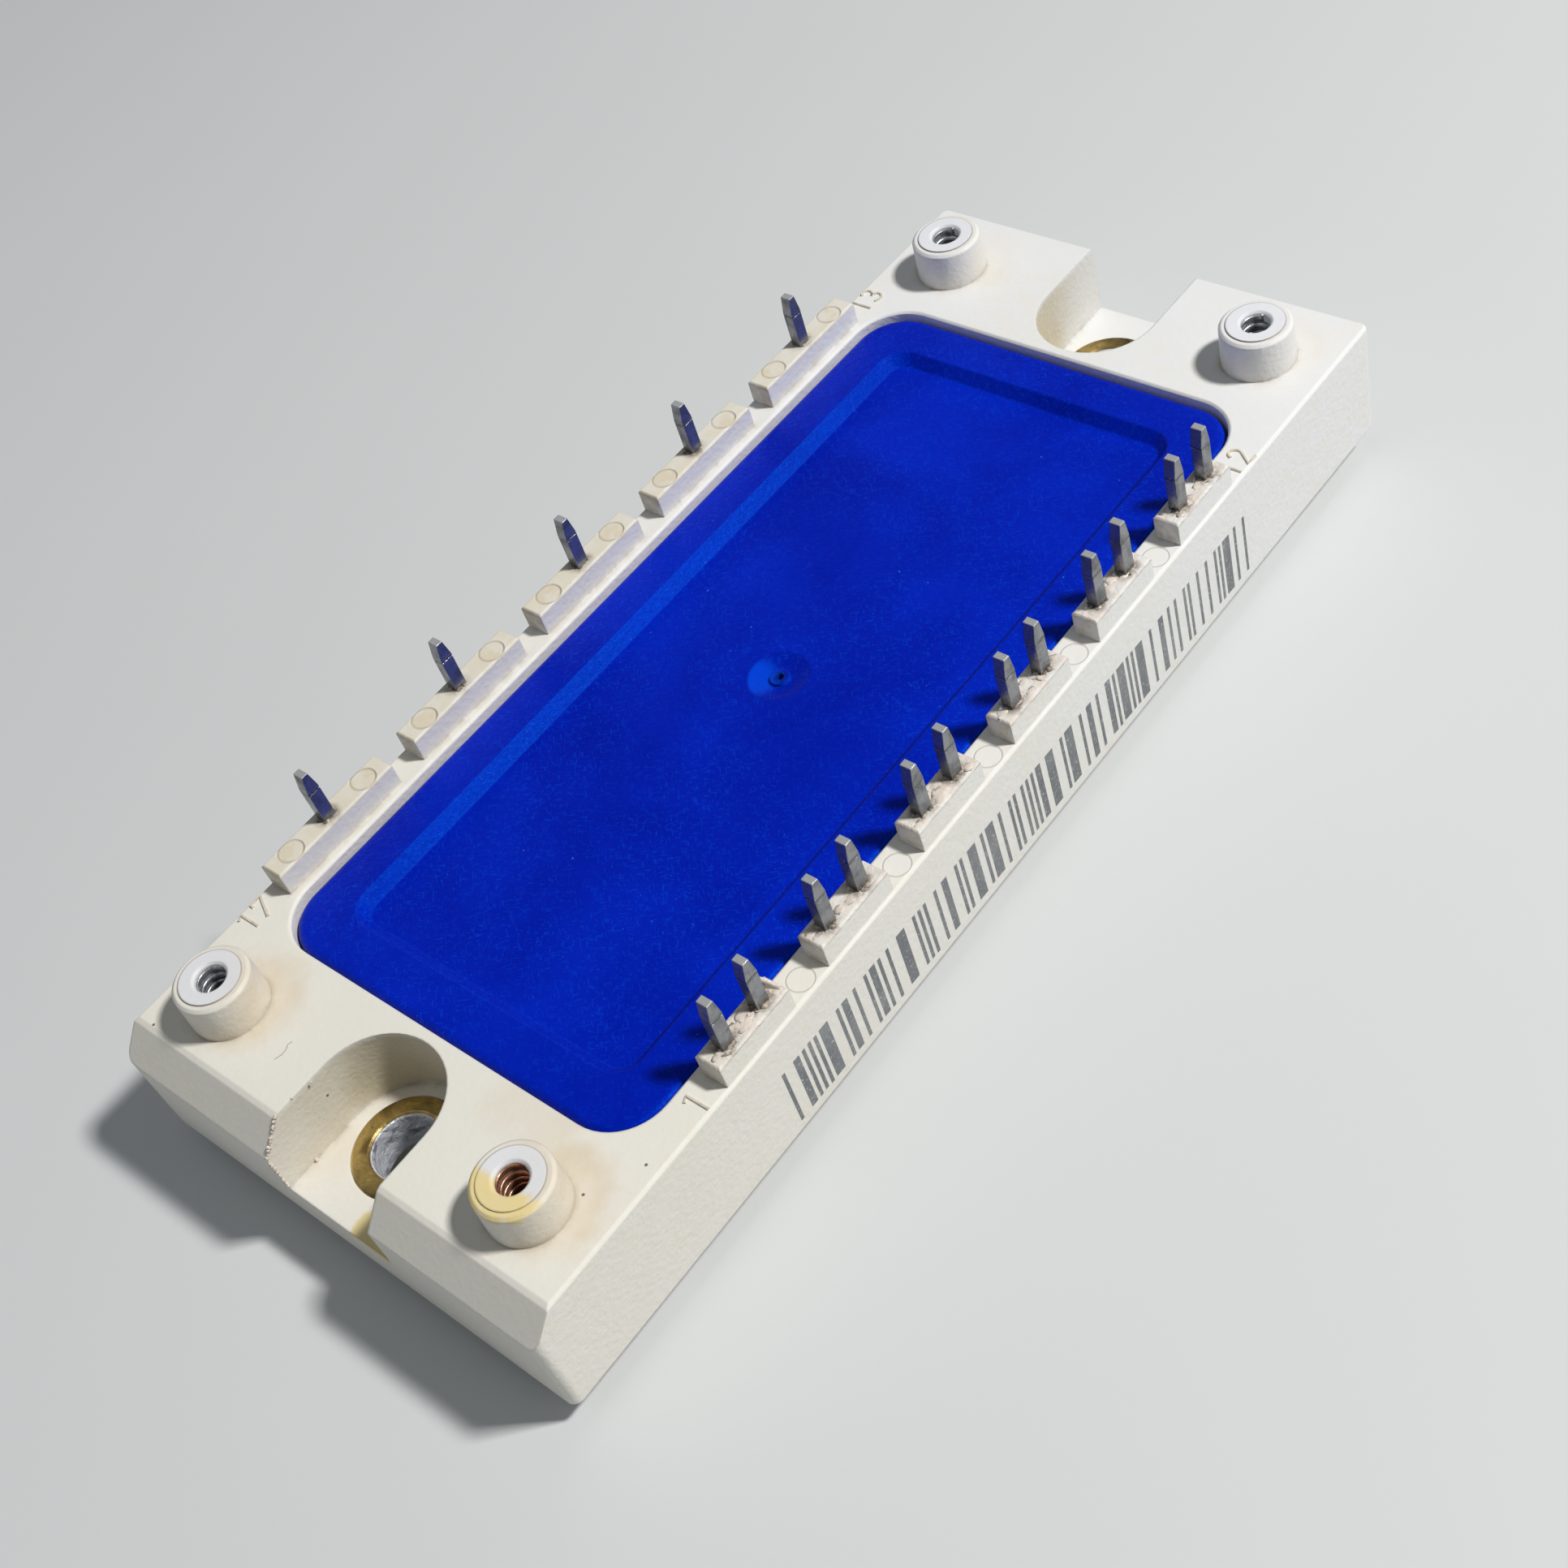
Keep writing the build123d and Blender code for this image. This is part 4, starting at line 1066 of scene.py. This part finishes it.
def notch_burrs():
    """Small crumbs of torn plastic along the outer edge of the near notch."""
    bm = bmesh.new()
    rng = random.Random(3)
    burrs = list(LONE_BURRS)
    for (x1, z1), (x2, z2) in zip(TORN_EDGE, TORN_EDGE[1:]):
        for k in range(TORN_STEPS):
            share = (k + rng.random()) / TORN_STEPS
            burrs.append((x1 + (x2 - x1) * share, NOTCH_R - 0.02, z1 + (z2 - z1) * share,
                          rng.uniform(0.07, 0.19)))
    for k, (x, y, z, size) in enumerate(burrs):
        lump(bm, (x, y, z), size, (1.0, 0.8, 1.3), k * 1.7, rough=0.7)
    piece("notch_burrs", bm, "block_crust", smooth=True)


SCRAPE_WIDTH = 0.11
SCRAPE_RISE = 0.02
SCRAPE = [(-48.0, 9.36), (-47.4, 9.16), (-46.94, 9.2), (-46.55, 9.42), (-46.2, 9.3)]


def top_scrape():
    """A short curved scrape on the frame's top beside the near notch."""
    bm = bmesh.new()
    stroke(bm, SCRAPE, frame_top, SCRAPE_WIDTH, SCRAPE_RISE)
    piece("top_scrape", bm, "pencil_mark")


BARS_START = -28.3
BARS_END = 33.4
BARS_LOW = 3.15
BARS_HIGH = 9.2
BAR_UNIT = 0.33
BAR_THICKNESS = 0.012
BAR_DRIFT = 0.05
BAR_WIDTHS = (1, 1, 1, 2, 3)
BAR_GAPS = (1, 1, 2, 3)


def box_faces(bm, low, high):
    """A closed thin box between two corners."""
    made = bmesh.ops.create_cube(bm, size=1.0)
    low, high = Vector(low), Vector(high)
    for vert in made["verts"]:
        vert.co = Vector([low[k] if vert.co[k] < 0 else high[k] for k in range(3)])


def printed_bars():
    """A plain row of printed bars along the front wall, with no code in it."""
    bm = bmesh.new()
    rng = random.Random(31)
    x = BARS_START
    wall = frame_low.y
    while x < BARS_END:
        width = BAR_UNIT * rng.choice(BAR_WIDTHS)
        gap = BAR_UNIT * rng.choice(BAR_GAPS)
        drift = rng.uniform(-BAR_DRIFT, BAR_DRIFT)
        box_faces(bm, (x, wall - BAR_THICKNESS, BARS_LOW + drift),
                  (x + width, wall + BAR_THICKNESS, BARS_HIGH + drift))
        x += width + gap
    piece("printed_bars", bm, "worn_ink")


for number_text, number_x, number_y in NUMBERS:
    raised_number(number_text, number_x, number_y)
place_threads()
place_foot_residue()
place_solder_beads()
place_block_crust()
block_flash()
notch_burrs()
top_scrape()
printed_bars()


# Stage, light and camera
def floor():
    """A plain pale floor just under the module."""
    mesh = bpy.data.meshes.new("floor")
    half = FLOOR_SIZE * MM / 2
    level = -FLOOR_GAP * MM
    corners = [(-half, -half, level), (half, -half, level), (half, half, level), (-half, half, level)]
    mesh.from_pydata(corners, [], [(0, 1, 2, 3)])
    made = bpy.data.objects.new("floor", mesh)
    bpy.context.scene.collection.objects.link(made)
    finish, tree, shader, at = material("floor_paint")
    paler = colour(*[value * 1.03 for value in FLOOR_COLOUR])
    put(tree, shader.inputs["Base Color"], blend(tree, patches(tree, at, 120.0, 0.5, 0.4),
                                                 colour(*FLOOR_COLOUR), paler))
    shader.inputs["Roughness"].default_value = 0.6
    mesh.materials.append(finish)


def lamp(name, azimuth, elevation, distance, size, power, tint):
    """A square area lamp aimed at the middle of the module."""
    data = bpy.data.lights.new(name, "AREA")
    data.size = size * MM
    data.energy = power
    data.color = tint
    made = bpy.data.objects.new(name, data)
    bpy.context.scene.collection.objects.link(made)
    a, e = math.radians(azimuth), math.radians(elevation)
    away = Vector((math.cos(a) * math.cos(e), math.sin(a) * math.cos(e), math.sin(e)))
    made.location = away * distance * MM
    made.rotation_mode = "QUATERNION"
    made.rotation_quaternion = (-away).to_track_quat("-Z", "Y")


def world():
    """An even, slightly cool surround."""
    surround = bpy.data.worlds.new("surround")
    surround.use_nodes = True
    background = surround.node_tree.nodes["Background"]
    background.inputs["Color"].default_value = colour(*WORLD_COLOUR)
    background.inputs["Strength"].default_value = WORLD_STRENGTH
    bpy.context.scene.world = surround


def camera():
    """The camera where the photograph was taken, with the photograph's roll and framing."""
    data = bpy.data.cameras.new("camera")
    made = bpy.data.objects.new("camera", data)
    bpy.context.scene.collection.objects.link(made)
    data.sensor_width = SENSOR_WIDTH
    data.lens = FOCAL_PIXELS * SENSOR_WIDTH / IMAGE_SIZE
    data.shift_x = (IMAGE_SIZE / 2 - IMAGE_CENTRE[0]) / IMAGE_SIZE
    data.shift_y = (IMAGE_CENTRE[1] - IMAGE_SIZE / 2) / IMAGE_SIZE
    data.clip_start = CAMERA_CLIP_START * MM
    right, down, forward = Vector(CAMERA_RIGHT), Vector(CAMERA_DOWN), Vector(CAMERA_FORWARD)
    turn = Matrix((right, -down, -forward)).transposed()
    made.matrix_world = Matrix.Translation(Vector(CAMERA_PLACE) * MM) @ turn.to_4x4()
    bpy.context.scene.camera = made


floor()
lamp("key", KEY_AZIMUTH, KEY_ELEVATION, KEY_DISTANCE, KEY_SIZE, KEY_POWER, KEY_TINT)
lamp("fill", FILL_AZIMUTH, FILL_ELEVATION, FILL_DISTANCE, FILL_SIZE, FILL_POWER, FILL_TINT)
world()
camera()
bpy.context.scene.view_settings.view_transform = "Standard"
